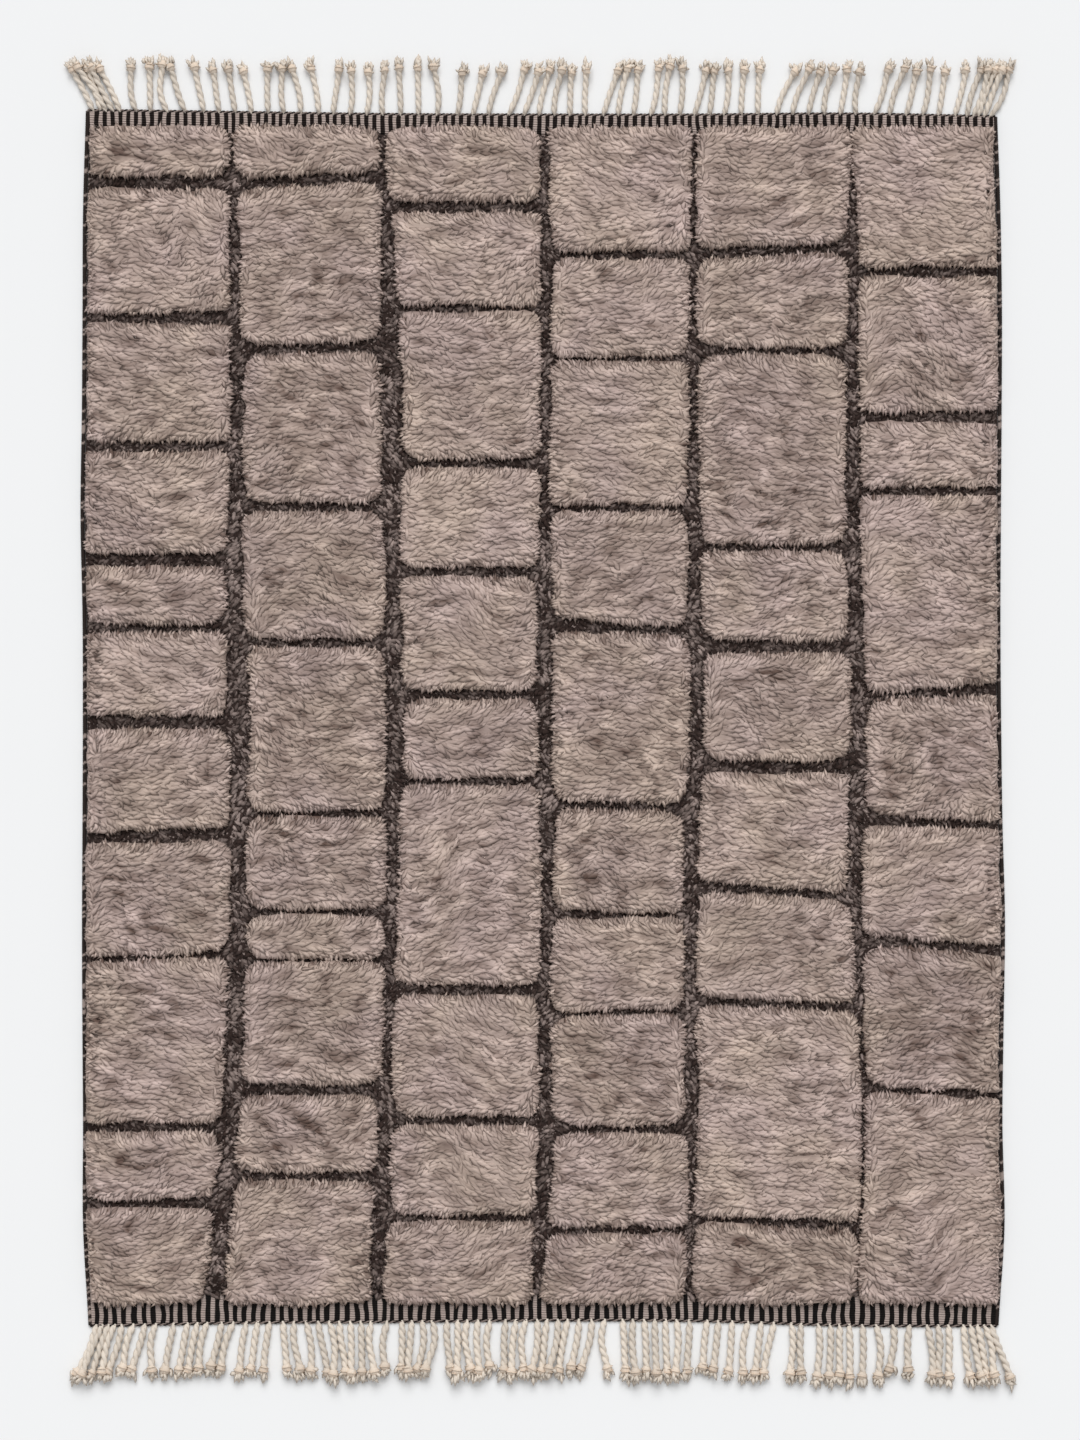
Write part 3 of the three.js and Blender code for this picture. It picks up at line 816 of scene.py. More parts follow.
class Wool:
    """Points and triangles gathered for one piece, with three readings at each point.

    Tint tells a lock or strand from the next; in the pile it also carries painted shade in the partings,
    painted light on the crests and the painted light and shade round the blocks, and among the ground's
    tufts the painted shade in the grooves. Along runs from its root to its tip, and place is where the
    point lies across and along it, in metres.
    """

    # The name, type, key and size of each reading
    LAYERS = (("tint", "FLOAT", "value", 1), ("along", "FLOAT", "value", 1),
              ("place", "FLOAT_VECTOR", "vector", 3))

    def __init__(self):
        self.count = 0
        self.points, self.triangles, self.finishes = [], [], []
        self.readings = {name: [] for name, *_ in self.LAYERS}

    def add(self, points, triangles, finish=0, **readings):
        """Adds one shape, or many with the same triangles when points has a row for each."""
        if points.ndim == 3:
            copies, corners, _ = points.shape
            starts = np.arange(copies)[:, None, None] * corners
            triangles = (triangles[None] + starts).reshape(-1, 3)
        points = points.reshape(-1, 3)
        self.points.append(points)
        self.triangles.append(triangles + self.count)
        self.finishes.append(np.broadcast_to(finish, len(triangles)))
        for name, _, _, size in self.LAYERS:
            values = np.asarray(readings[name], float).reshape(-1, size)
            self.readings[name].append(np.broadcast_to(values, (len(points), size)))
        self.count += len(points)

    def piece(self, name, materials, node):
        """Makes one smooth piece of what was gathered, moved to the cloth's place."""
        mesh = bpy.data.meshes.new(name)
        points = wandered(np.concatenate(self.points)) + (0, CLOTH_SHIFT, 0)
        triangles = np.concatenate(self.triangles)
        mesh.vertices.add(len(points))
        mesh.vertices.foreach_set("co", points.ravel())
        mesh.loops.add(triangles.size)
        mesh.loops.foreach_set("vertex_index", triangles.ravel())
        mesh.polygons.add(len(triangles))
        mesh.polygons.foreach_set("loop_start", np.arange(0, triangles.size, 3))
        mesh.polygons.foreach_set("material_index", np.concatenate(self.finishes))
        mesh.update(calc_edges=True)
        mesh.shade_smooth()
        for layer, kind, key, _ in self.LAYERS:
            values = np.concatenate(self.readings[layer]).ravel()
            mesh.attributes.new(layer, kind, "POINT").data.foreach_set(key, values)
        for material in materials:
            mesh.materials.append(material)
        made = linked(name, mesh)
        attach(made, BODY)
        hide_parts(node)


def each_of(count, *values):
    """Values that hold for each of many locks, as columns beside the points of a lock."""
    return [np.broadcast_to(value, count)[:, None] for value in values]


def towards(x, y, heading, run, sideways=0):
    """The places so far along a heading from a point, and so far to its left."""
    return (x + run * np.cos(heading) - sideways * np.sin(heading),
            y + run * np.sin(heading) + sideways * np.cos(heading))


def lay_tufts(wool, root, heading, rise, length, width, droop, curl, tint):
    """Adds one tuft at each root: it sets off at its heading and rise, droops and curls to one side."""
    points, triangles = TIP
    across, deep, t = points.T
    count = len(root)
    x, y, z, heading, rise, length, width, droop, curl, tint, seed = each_of(
        count, *root.T, heading, rise, length, width, droop, curl, tint, np.arange(count) * SEED_STEP)
    thick = TUFT_THICKNESS * width * deep
    run = length * np.cos(rise) * t - thick * np.sin(rise)
    climb = length * np.sin(rise) * t - droop * t * t + thick * np.cos(rise)
    x, y = towards(x, y, heading, run, width * across + curl * t * t)
    wool.add(np.stack([x, y, z + climb], -1), triangles, tint=tint + 0 * t, along=0 * tint + t,
             place=np.stack([width * across + seed, length * t, seed + 0 * t], -1))


def sweep(wool, shape, path, radius, tint, length, along=(0, 1), turn=0, offset=0):
    """Bends a round shape along a path; with a turn it winds round the path, at an offset from it."""
    points, triangles = shape
    across, deep, t = points.T
    step = 1e-3

    def at(value):
        return value(t)[:, None] if callable(value) else value

    forward = path(np.minimum(t + step, 1)) - path(np.maximum(t - step, 0))
    forward /= np.linalg.norm(forward, axis=1, keepdims=True)
    side = np.cross(forward, (0.0, 0.0, 1.0))
    side /= np.linalg.norm(side, axis=1, keepdims=True)
    lift = np.cross(side, forward)
    centre = path(t) + at(offset) * (np.cos(at(turn)) * side + np.sin(at(turn)) * lift)
    placed = centre + at(radius) * (across[:, None] * side + deep[:, None] * lift)
    wool.add(placed, triangles, tint=tint + 0 * t, along=along[0] + (along[1] - along[0]) * t,
             place=np.stack([np.arctan2(deep, across) / TURN, t * length, 0 * t + tint], -1))


# Materials


class Nodes:
    """The shader nodes of a material or a group, and short ways to place them."""

    def __init__(self, tree):
        self.tree = tree

    def feed(self, made, inputs):
        """Links or sets a node's inputs."""
        for key, value in inputs.items():
            if isinstance(value, NodeSocket):
                self.tree.links.new(value, made.inputs[key])
            else:
                made.inputs[key].default_value = value

    def add(self, kind, inputs=(), **settings):
        """Places a node, sets it up, and gives its outputs."""
        made = self.tree.nodes.new(kind)
        for name, value in settings.items():
            setattr(made, name, value)
        self.feed(made, dict(inputs))
        return made.outputs

    def surface(self, inputs):
        """Links or sets the inputs of the material's own shader."""
        self.feed(self.tree.nodes["Principled BSDF"], inputs)

    def maths(self, operation, first, second=0.0, third=0.0):
        return self.add("ShaderNodeMath", {0: first, 1: second, 2: third}, operation=operation)[0]

    def vectors(self, operation, first, second):
        return self.add("ShaderNodeVectorMath", {0: first, 1: second}, operation=operation)[0]

    def noise(self, where, scale, detail=1.0, roughness=0.5, distortion=0.0):
        return self.add("ShaderNodeTexNoise", {"Vector": where, "Scale": scale, "Detail": detail,
                                               "Roughness": roughness, "Distortion": distortion})[0]

    def bump(self, inputs):
        return self.add("ShaderNodeBump", inputs)[0]

    def spread(self, value, low=0, high=1, start=0, end=1):
        """Stretches what runs from start to end to run from low to high."""
        return self.add("ShaderNodeMapRange", {"Value": value, "From Min": start, "From Max": end,
                                               "To Min": low, "To Max": high})[0]

    def blended(self, share, first, second, how="MIX"):
        """Blends two colours."""
        first, second = (value if isinstance(value, NodeSocket) else (*value, 1)
                         for value in (first, second))
        return self.add("ShaderNodeMix", {0: share, 6: first, 7: second},
                        data_type="RGBA", blend_type=how)[2]

    def toned(self, colour, tone):
        """A colour made lighter or darker by a tone."""
        grey = self.add("ShaderNodeCombineColor", {"Red": tone, "Green": tone, "Blue": tone})[0]
        return self.blended(1.0, colour, grey, "MULTIPLY")

    def object_place(self):
        return self.add("ShaderNodeTexCoord")["Object"]


class WoolNodes(Nodes):
    """The nodes of a wool material, with the readings that its colour can follow."""

    def __init__(self, tree, count, depth):
        super().__init__(tree)
        self.tint, self.along, self.place = (
            self.add("ShaderNodeAttribute", attribute_name=name)[output]
            for name, output in (("tint", "Fac"), ("along", "Fac"), ("place", "Vector")))
        self.where = self.object_place()
        fibres = self.add("ShaderNodeGroup", {"Place": self.place, "Count": count, "Depth": depth},
                          node_tree=fibres_group())
        self.fibre, self.normal = fibres["Fibre"], fibres["Normal"]

    def shaded(self, colour, fibre_range, tint_range=(1, 1)):
        """A colour made lighter and darker from fibre to fibre and from lock to lock."""
        tone = self.maths("MULTIPLY", self.spread(self.tint, *tint_range),
                          self.spread(self.fibre, *fibre_range))
        return self.toned(colour, tone)


def group(name, inputs, outputs, fill):
    """A shader node group, made once; its Place and Normal are vectors, its other sockets numbers."""
    if name in bpy.data.node_groups:
        return bpy.data.node_groups[name]
    tree = bpy.data.node_groups.new(name, "ShaderNodeTree")
    for way, labels in (("INPUT", inputs), ("OUTPUT", outputs)):
        for label in labels:
            kind = "Vector" if label in ("Place", "Normal") else "Float"
            tree.interface.new_socket(label, in_out=way, socket_type=f"NodeSocket{kind}")
    nodes = Nodes(tree)
    nodes.add("NodeGroupOutput", fill(nodes, nodes.add("NodeGroupInput")))
    return tree


def fibres_group():
    """Fine fibres along a lock or yarn, as a mask and as a normal."""
    def fill(nodes, given):
        fine = nodes.vectors("MULTIPLY", given["Place"], (1.0, 0.07, 1.0))
        fibre = nodes.noise(fine, given["Count"], detail=3.0, roughness=0.6)
        normal = nodes.bump({"Height": fibre, "Strength": given["Depth"], "Distance": 1 * MM})
        return {"Fibre": fibre, "Normal": normal}

    return group("wool fibres", ("Place", "Count", "Depth"), ("Fibre", "Normal"), fill)


def strokes_group():
    """The strokes of combed wool, the partings between them and their finer hairs; the pile wool darkens
    their dips and partings as painted shade.
    """
    def fill(nodes, given):
        def times(share):
            return nodes.maths("MULTIPLY", given["Count"], share)

        def strokes(stretch, scale, detail=1.0):
            drawn = nodes.vectors("MULTIPLY", given["Place"], (1.0, stretch, 1.0))
            return nodes.noise(drawn, scale, detail, roughness=0.55, distortion=0.35)

        broad = strokes(stretch=0.36, scale=given["Count"])
        hairs = strokes(stretch=0.13, scale=times(4.0))
        slow = strokes(stretch=0.4, scale=times(0.42), detail=2.0)
        line = nodes.maths("ABSOLUTE", nodes.maths("SUBTRACT", slow, 0.5))
        apart = nodes.vectors("ADD", given["Place"], (3.0, 5.0, 7.0))
        partings = nodes.maths("MULTIPLY", nodes.spread(line, low=1, high=0, start=0.01, end=0.045),
                               nodes.spread(nodes.noise(apart, scale=19.0), start=0.48, end=0.6))
        return {"Strokes": broad, "Hairs": hairs, "Partings": partings,
                "Height": nodes.maths("MULTIPLY_ADD", hairs, 0.08, broad)}

    return group("wool strokes", ("Place", "Count"), ("Strokes", "Hairs", "Partings", "Height"), fill)


def matt_wool(name, count=900.0, depth=0.5, relief=0.0):
    """Turns a finish, which gives a colour and a relief's height, into a function that gives its material.

    The finish is given the wool's nodes and the rug's settings. Its material is made once.
    """
    def dressed(finish):
        def material():
            if name in bpy.data.materials:
                return bpy.data.materials[name]
            made = bpy.data.materials.new(name)
            made.use_nodes = True
            nodes = WoolNodes(made.node_tree, count, depth)
            base, height = finish(nodes, bpy.context.scene.rug)
            normal = nodes.normal
            if relief:
                normal = nodes.bump({"Height": height, "Distance": relief, "Normal": normal})
            nodes.surface({"Base Color": base, "Roughness": nodes.spread(nodes.fibre, 0.8, 0.98),
                           "Normal": normal, "Specular IOR Level": 0.25})
            return made

        return material

    return dressed


@matt_wool("pile wool", depth=0.3, relief=1 * MM)
def pile_wool(nodes, rug):
    """Pale on the crests of the strokes and darker down in the partings between them and towards the locks'
    roots: painted light on the crests, painted shade in the partings and at the roots.
    """
    combing = nodes.add("ShaderNodeGroup", {"Place": nodes.place, "Count": 44.0}, node_tree=strokes_group())
    # A share from painted shade to painted light: lower towards the locks' roots, in the dips between
    # strokes and along the partings, higher on the crests
    height = nodes.spread(nodes.along, low=-0.06, high=0, end=0.5)
    for reading, share in ((nodes.tint, 0.62), (combing["Strokes"], 1.1), (combing["Hairs"], 0.07),
                           (combing["Partings"], -0.28)):
        height = nodes.maths("MULTIPLY_ADD", reading, share, height)
    warmth = nodes.noise(nodes.where, scale=6.0, detail=2.0, roughness=0.55)
    tip = nodes.blended(nodes.spread(warmth, start=0.36, end=0.64), rug.pile.tip, rug.pile.warm_tip)
    base = nodes.blended(nodes.spread(height, start=0.36, end=1.35), rug.pile.root, tip)
    base = nodes.toned(base, nodes.spread(nodes.noise(nodes.where, scale=13.0), 0.86, 1.1))
    return nodes.shaded(base, (0.78, 1.22)), combing["Height"]


@matt_wool("pile back", relief=0.8 * MM)
def pile_back(nodes, rug):
    """The underside of the pile, where its rows of knots show."""
    rows = nodes.add("ShaderNodeTexBrick", {
        "Vector": nodes.where, "Color1": (0, 0, 0, 1), "Color2": (0.3, 0.3, 0.3, 1), "Mortar": (1, 1, 1, 1),
        "Scale": 100.0, "Mortar Size": 0.06, "Mortar Smooth": 1.0, "Brick Width": 0.6, "Row Height": 0.5})[0]
    base = nodes.blended(rows, rug.pile.tip, rug.pile.root)
    return nodes.shaded(base, (0.9, 1.1)), nodes.maths("SUBTRACT", 1.0, rows)


@matt_wool("ground wool")
def ground_wool(nodes, rug):
    """Tufts that are dark or paler by their tint, with painted shade at their roots and painted light
    towards their tips.
    """
    base = nodes.blended(nodes.spread(nodes.tint, start=0.1, end=0.9), rug.ground.dark, rug.ground.fleck)
    # Painted shade at the tufts' roots and painted light towards their tips
    base = nodes.toned(base, nodes.spread(nodes.along, 0.75, 1.4))
    return nodes.shaded(base, (0.6, 1.4)), nodes.fibre


@matt_wool("ground cloth", relief=1 * MM)
def ground_cloth(nodes, rug):
    """The ground's own cloth under its tufts, marled in dark and paler yarn."""
    marl = nodes.noise(nodes.where, scale=160.0, detail=2.0)
    base = nodes.blended(nodes.spread(marl, start=0.56, end=0.66), rug.ground.dark, rug.ground.fleck)
    return nodes.shaded(base, (0.7, 1.1)), marl


@matt_wool("striped weave", count=500.0, relief=0.8 * MM)
def striped_weave(nodes, rug):
    """Ribs of dark and pale yarn in turn, beaten down in rows, with painted light on the rows and painted
    shade between them; along runs through one pair of ribs.
    """
    swing = nodes.maths("SINE", nodes.maths("MULTIPLY", nodes.along, TURN))
    swing = nodes.maths("ADD", swing, nodes.spread(nodes.fibre, -0.5, 0.5))
    up = nodes.add("ShaderNodeSeparateXYZ", {0: nodes.where})["Y"]
    rows = nodes.maths("SINE", nodes.maths("MULTIPLY_ADD", up, TURN / WEFT_ROW, nodes.along))
    dark = nodes.toned(rug.ends.dark, nodes.spread(nodes.tint, 0.35, 1))
    base = nodes.blended(nodes.spread(swing, start=-0.04, end=0.3), dark, rug.ends.pale)
    # Painted light and shade on the weft rows, following their relief
    base = nodes.toned(base, nodes.spread(rows, 0.95, 1.12))
    return nodes.shaded(base, (0.75, 1.2), (1, 1.08)), rows


@matt_wool("two colour yarn", count=700.0)
def two_colour_yarn(nodes, rug):
    """Yarn that is dark or pale by its tint, as in the edging and the selvedges."""
    base = nodes.blended(nodes.tint, rug.ends.dark, rug.ends.pale)
    return nodes.shaded(base, (0.8, 1.2)), nodes.fibre


@matt_wool("fringe yarn", count=1400.0)
def fringe_yarn(nodes, rug):
    """Ivory yarn, more worn from the knots outward."""
    base = nodes.blended(nodes.spread(nodes.along, start=0.7, end=1.0), rug.fringe.yarn, rug.fringe.end)
    return nodes.shaded(base, (0.86, 1.1), (0.9, 1.06)), nodes.fibre


def floor_finish():
    settings = bpy.context.scene.rug.stage
    material = bpy.data.materials.new("floor")
    material.use_nodes = True
    nodes = Nodes(material.node_tree)
    haze = nodes.noise(nodes.object_place(), scale=3.0, detail=3.0)
    paler = tuple(min(1, value * 1.01) for value in settings.floor)
    nodes.surface({"Base Color": nodes.blended(haze, settings.floor, paler),
                   "Roughness": nodes.spread(haze, 0.85, 0.95), "Specular IOR Level": 0.1})
    return material


# Pieces


def closer_at_ends(share, count, size):
    """Moves even cells over a size so that the first and last ones are small."""
    edges = np.array(FLEECE_EDGES) / size
    inner = np.linspace(edges[-1], 1 - edges[-1], count - 3)[1:-1]
    stations = np.concatenate([edges, inner, 1 - edges[::-1]])
    return np.interp(share * count, np.arange(count + 1), stations)


def fleece(wool, block):
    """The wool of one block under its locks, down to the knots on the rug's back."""
    low, high = block.box()
    sizes = np.subtract(high, low)
    cells = [round(size / cell) for size, cell in zip(sizes, FLEECE_CELL)]
    points, triangles = block_shape(*cells)
    across, up = (closer_at_ends(*each) for each in zip(points.T, cells, sizes))
    is_top, is_back = points[:, 2] > 2.5, points[:, 2] < 1.5
    inset = np.where(is_top, FLEECE_INSET, FOOT_INSET)
    y = block.bottom(across) + inset + up * (block.top(across) - block.bottom(across) - 2 * inset)
    left, right = block.left(y) + inset, block.right(y) - inset
    x = left + across * (right - left)
    inside = block.sides(x, y).min(axis=0)
    out_x, out_y = block.outward(x, y)
    shift = (block.depth(x, y) - inside) * np.exp(-inside / EDGE_REACH)
    shift = shift / np.maximum(np.hypot(out_x, out_y), 0.1)
    x, y = x + shift * out_x, y + shift * out_y
    side = ground_edge_at(y) - BACK_MARGIN
    x = np.where(is_back, np.clip(x, -side, side), x)
    y = np.where(is_back, np.clip(y, FIELD_BOTTOM + BACK_MARGIN, FIELD_TOP - BACK_MARGIN), y)
    top = block.level(x, y) - FLEECE_SINK * np.exp(-np.maximum(block.depth(x, y), 0) / EDGE_REACH)
    z = np.where(is_top, top, np.where(is_back, 0, FOOT_HEIGHT))
    # Painted shade in the partings and painted light on the crests of the wool
    tint = np.clip(0.5 + 0.5 * (vigour(x, y) * block.crest(x, y)), 0, 1)
    # The tint also takes the painted light and shade round the block
    wool.add(np.stack([x, y, z], -1), triangles, is_back[triangles].all(axis=1).astype(int),
             tint=tint + block.tone + block.painted_light_and_shade(x, y), along=0.5, place=block.combed_place(x, y))


def kept_in(block, x, y, heading, length, margin):
    """Shortens locks until none reaches past its block's outline by more than its margin."""
    for _ in range(CUTS):
        is_past = block.depth(*towards(x, y, heading, length)) < -margin
        length = np.where(is_past, SHORTER * length, length)
    return length


def held(turned, hold, combed=1):
    """A share that is one thing where the wool is turned outward, and another where it is combed."""
    return turned + (combed - turned) * hold


def comb_block(wool, block, rng):
    """Covers a block with locks that follow the combing and turn outward near its sides.

    A lock is laid over the block's wool, arched a little and curled. One that is turned out of the
    combing has strokes of its own.
    """
    settings = bpy.context.scene.rug.pile
    x, y = scattered(*block.box(), settings.spacing, rng)
    more_x, more_y = scattered(*block.box(), EDGE_SPACING, rng)
    kept = block.depth(x, y) > ROOT_INSET
    added = np.abs(block.depth(more_x, more_y) - EDGE_STRIP["inset"]) < EDGE_STRIP["half"]
    x, y = np.concatenate([x[kept], more_x[added]]), np.concatenate([y[kept], more_y[added]])
    count = len(x)

    crest = block.crest(x, y)
    pull_x, pull_y = slopes(block.crest, x, y)
    steepness = np.maximum(np.hypot(pull_x, pull_y), 1e-6)
    gather = GATHER * np.minimum(steepness * GATHER_SLOPE, 1) / steepness
    x, y = x + gather * pull_x, y + gather * pull_y

    over_x, over_y = slopes(lambda a, b: block.combed(a, b)[1], x, y)
    steer = block.sense / np.hypot(over_x, over_y)
    out_x, out_y = block.outward(x, y, TURN_OUT)
    hold = np.clip(1 - np.hypot(out_x, out_y), 0, 1)
    heading = np.arctan2(OUTWARD_PULL * out_y - hold * over_x * steer,
                         OUTWARD_PULL * out_x + hold * over_y * steer)
    heading = heading + rng.normal(0, HEADING_SPREAD, count)
    length = settings.length * rng.uniform(*LOCK_LENGTHS, count) * held(TURNED_LENGTH, hold)
    spill = drift(x, y, *SPILL_DRIFT) + rng.uniform(*SPILLS, count)
    spill = spill + rng.uniform(0, STRAY_SPILL, count) * (rng.uniform(0, 1, count) < STRAY_SHARE)
    spill = np.where(block.is_rim(x), RIM_SPILL, spill)
    ahead = kept_in(block, x, y, heading, (1 - LOCK_BEHIND) * length, spill)
    behind = kept_in(block, x, y, heading + math.pi, LOCK_BEHIND * length, TAIL_SPILL)
    length = ahead + behind
    whole = length / settings.length
    width = settings.width * rng.uniform(*LOCK_WIDTHS, count) * held(CUT_WIDTH, whole)
    width = width * held(TURNED_WIDTH, hold)
    lift = settings.lift * rng.uniform(*LOCK_LIFTS, count) * (1 + CREST_LIFT * crest) * whole
    lift = lift * held(TURNED_LIFT, hold)
    uneven = rng.normal(0, 1, count) * held(TURNED_TINT, hold, COMBED_TINT)
    # Painted shade in the partings and painted light on the crests, with a random tone from lock to lock and
    # from block to block
    tint = np.clip(0.5 + 0.5 * vigour(x, y) * crest + uneven, 0, MOST_TINT) + block.tone
    x, y = towards(x, y, heading, -behind)
    curl = rng.normal(0, LOCK_CURL, count)

    points, triangles = LOCK
    across, deep, t = points.T
    x, y, heading, length, width, lift, curl, tint, hold, seed = each_of(
        count, x, y, heading, length, width, lift, curl, tint, hold, np.arange(count) * SEED_STEP)
    run = length * t
    x, y = towards(x, y, heading, run, width * across + curl * t * t)
    arch = lift * np.sin(LOCK_ARCH * t) - LOCK_SUNK * (1 - t) ** 2 + EDGE_LIFT * (1 - hold) * t
    z = block.level(x, y) + LOCK_FLATNESS * width * deep + arch
    own = np.stack([OWN_STROKES["wide"] * width * across + seed, OWN_STROKES["long"] * run,
                    seed + 0 * t], -1)
    # The tint also takes the painted light and shade round the block
    wool.add(np.stack([x, y, z], -1), triangles, tint=tint + block.painted_light_and_shade(x, y), along=0 * z + t,
             place=np.where(hold[..., None] < OWN_STROKES["held"], own, block.combed_place(x, y)))


def make_pile():
    """One piece for each column of blocks."""
    for column, blocks in enumerate(BLOCKS):
        rng = np.random.default_rng(PILE_SEED + column)
        wool = Wool()
        for block in blocks:
            fleece(wool, block)
            comb_block(wool, block, rng)
        wool.piece(f"pile_column_{column + 1}", (pile_wool(), pile_back()), "pile_field")


def lay_ground_cloth():
    """The knotted cloth under the blocks."""
    length = FIELD_TOP - FIELD_BOTTOM
    points, triangles = slab_shape(round(2 * ground_edge_at(0) / GROUND_CELL), round(length / GROUND_CELL))
    across, up, level = points.T
    y = FIELD_BOTTOM + up * length
    x = (2 * across - 1) * ground_edge_at(y)
    place = np.stack([x, y, GROUND_LIFT + level * (TUFT_TOP - GROUND_LIFT)], -1)
    cloth = Wool()
    cloth.add(place, triangles, tint=0.3, along=0.5, place=place)
    cloth.piece("ground", (ground_cloth(),), "pile_field")


def lay_ground_tufts():
    """The short tufts that show between the blocks."""
    settings = bpy.context.scene.rug.ground
    rng = np.random.default_rng(GROUND_SEED)
    edge = ground_edge_at(0)
    x, y = scattered((-edge, FIELD_BOTTOM), (edge, FIELD_TOP), settings.spacing, rng)
    depth = np.full(len(x), -1.0)
    for block in sum(BLOCKS, []):
        (x0, y0), (x1, y1) = block.box()
        near = (x > x0) & (x < x1) & (y > y0) & (y < y1)
        depth[near] = np.maximum(depth[near], block.depth(x[near], y[near]))
    shown = (depth < GROUND_SHOWN) & (np.abs(x) < ground_edge_at(y) - GROUND_MARGIN)
    x, y = x[shown], y[shown]
    count = len(x)

    slant = np.where(drift(x, y, *TUFT_LEAN) > 0, 1, -1)
    heading = TUFT_SLANT * slant + math.pi * rng.integers(0, 2, count) + rng.normal(0, TUFT_SPREAD, count)
    is_out = (np.abs(x) > ground_edge_at(y) - RIM) & (x * np.cos(heading) > 0)
    heading = heading + math.pi * is_out
    rise = rng.uniform(*TUFT_RISES, count)
    root = np.stack([x, y, np.full(count, TUFT_TOP - TUFT_ROOT)], -1)
    length = settings.length * rng.uniform(*TUFT_LENGTHS, count)
    width = settings.width * rng.uniform(*TUFT_WIDTHS, count)
    in_column = [(x > first.left(y)) & (x < first.right(y)) for first, *_ in BLOCKS]
    mottle = drift(x + slant * y, (y - slant * x) / 2, *TUFT_MOTTLE)
    tint = TUFT_TINT + mottle + drift(x, y, *TUFT_DRIFT) + rng.uniform(*TUFT_TINTS, count)
    # Painted shade: the tufts within a column, in its grooves and by its blocks' edges, are darker
    tint = np.clip(tint * np.where(np.any(in_column, axis=0), GROOVE_PAINTED_SHADE, 1), 0, 1)
    tufts = Wool()
    lay_tufts(tufts, root, heading, rise, length, width, TUFT_DROOP * length,
              rng.normal(0, TUFT_CURL, count), tint)
    tufts.piece("ground_tufts", (ground_wool(),), "pile_field")


def rib_phase(x, y, pitch, seed):
    """How many pairs of ribs lie to the left of a place, with the pairs a little uneven."""
    return x / pitch + drift(x, 0 * x, *RIB_DRIFT, seed) + drift(x, y, *RIB_WAVER, seed + 1)


def woven_end(name, inner, stations, pitch):
    """A flat-woven end: ribs of dark and pale yarn, with a two-colour cord twined along its edge."""
    settings = bpy.context.scene.rug.ends
    seed = RIB_SEEDS[name]
    pairs = round(2 * HALF_WIDTH / pitch)
    points, triangles = slab_shape(2 * pairs * RIB_CELLS, BAND_ROWS)
    across, up, level = points.T
    x = (2 * across - 1) * (ground_edge_at(HALF_LENGTH) + BAND_REACH)
    outer = band_edge_at(stations, x) - math.copysign(BAND_INSET, inner)
    y = inner + up * (outer - inner)
    phase = rib_phase(x, y, pitch, seed)
    ridge = np.abs(np.sin(TURN * phase)) ** RIB_ROUNDNESS
    rib = settings.rib_height * (ridge - RIB_SUNK) * grown(up, *RIB_AT_EDGE)
    z = np.where(level > 0.5, BAND_VALLEY + rib, BAND_LIFT)
    place = np.stack([x, y, z], -1)
    wool = Wool()
    wool.add(place, triangles, tint=float(inner > 0), along=phase, place=place)
    wool.piece(f"band_{name}", (striped_weave(),), f"end_band_{name}")

    reach = ground_edge_at(HALF_LENGTH) + EDGING["reach"]

    def path(t):
        x = (2 * t - 1) * reach
        y = band_edge_at(stations, x) - math.copysign(EDGING["inset"], inner)
        return np.stack([x, y, np.full(len(t), EDGING["height"])], -1)

    edging = Wool()
    shape = tube_shape(4, pairs * EDGING_STEPS)
    for tint, start in zip(EDGING_TINTS, (0, math.pi)):
        sweep(edging, shape, path, EDGING["radius"], tint, 2 * reach, offset=EDGING["offset"],
              turn=lambda t: TURN * rib_phase(*path(t).T[:2], pitch, seed) + start)
    edging.piece(f"edging_{name}", (two_colour_yarn(),), f"end_band_{name}")


def make_ends():
    settings = bpy.context.scene.rug.ends
    woven_end("top", FIELD_TOP + PIECE_GAP, TOP_EDGE, settings.top_pitch)
    woven_end("bottom", FIELD_BOTTOM - PIECE_GAP, BOTTOM_EDGE, settings.bottom_pitch)


def make_selvedges():
    """The side edges, overcast with dark yarn and a paler dash every few turns."""
    for name, side in (("left", -1), ("right", 1)):
        low = band_edge_at(BOTTOM_EDGE, side * HALF_WIDTH) + SELVEDGE_SHORTER
        high = band_edge_at(TOP_EDGE, side * HALF_WIDTH) - SELVEDGE_SHORTER
        length = high - low
        turns = round(length / SELVEDGE_WRAP)
        points, triangles = tube_shape(8, turns * 2)
        across, deep, t = points.T
        rng = np.random.default_rng(SELVEDGE_SEED + side)
        y = low + t * length
        wrap = t * turns - SELVEDGE_SLANT * across
        swell = SELVEDGE_FULL * (1 - SELVEDGE_SWELL * np.cos(TURN * wrap))
        x = side * (edge_at(y) - SELVEDGE_WIDTH / 2) + across * SELVEDGE_WIDTH / 2 * swell
        z = SELVEDGE_HEIGHT / 2 * (1 + deep * swell)
        number = np.clip(np.floor(wrap).astype(int), 0, turns + 2)
        is_pale = (rng.uniform(0, 1, turns + 3) < 1 / PALE_TURNS[name])[number]
        wool = Wool()
        wool.add(np.stack([x, y, z], -1), triangles, tint=np.where(is_pale, *SELVEDGE_TINTS), along=t,
                 place=np.stack([np.arctan2(deep, across) / TURN, t * length, 0 * t], -1))
        wool.piece(f"overcast_{name}", (two_colour_yarn(),), f"selvedge_{name}")


def strands_of(fringe, rng):
    """The root, tip, reach and lift over its neighbours of each strand in a table of bunches, in metres."""
    for strands, first_root, last_root, first_tip, last_tip, reach in fringe:
        for index in range(strands):
            share = index / max(1, strands - 1)
            root = first_root + (last_root - first_root) * share
            tip = first_tip + (last_tip - first_tip) * share
            lift = STRAND_OVER if strands > CROWDED and index % 2 else 0
            yield root * MM, tip * MM, reach * MM + rng.uniform(-1, 1) * REACH_UNEVEN, lift


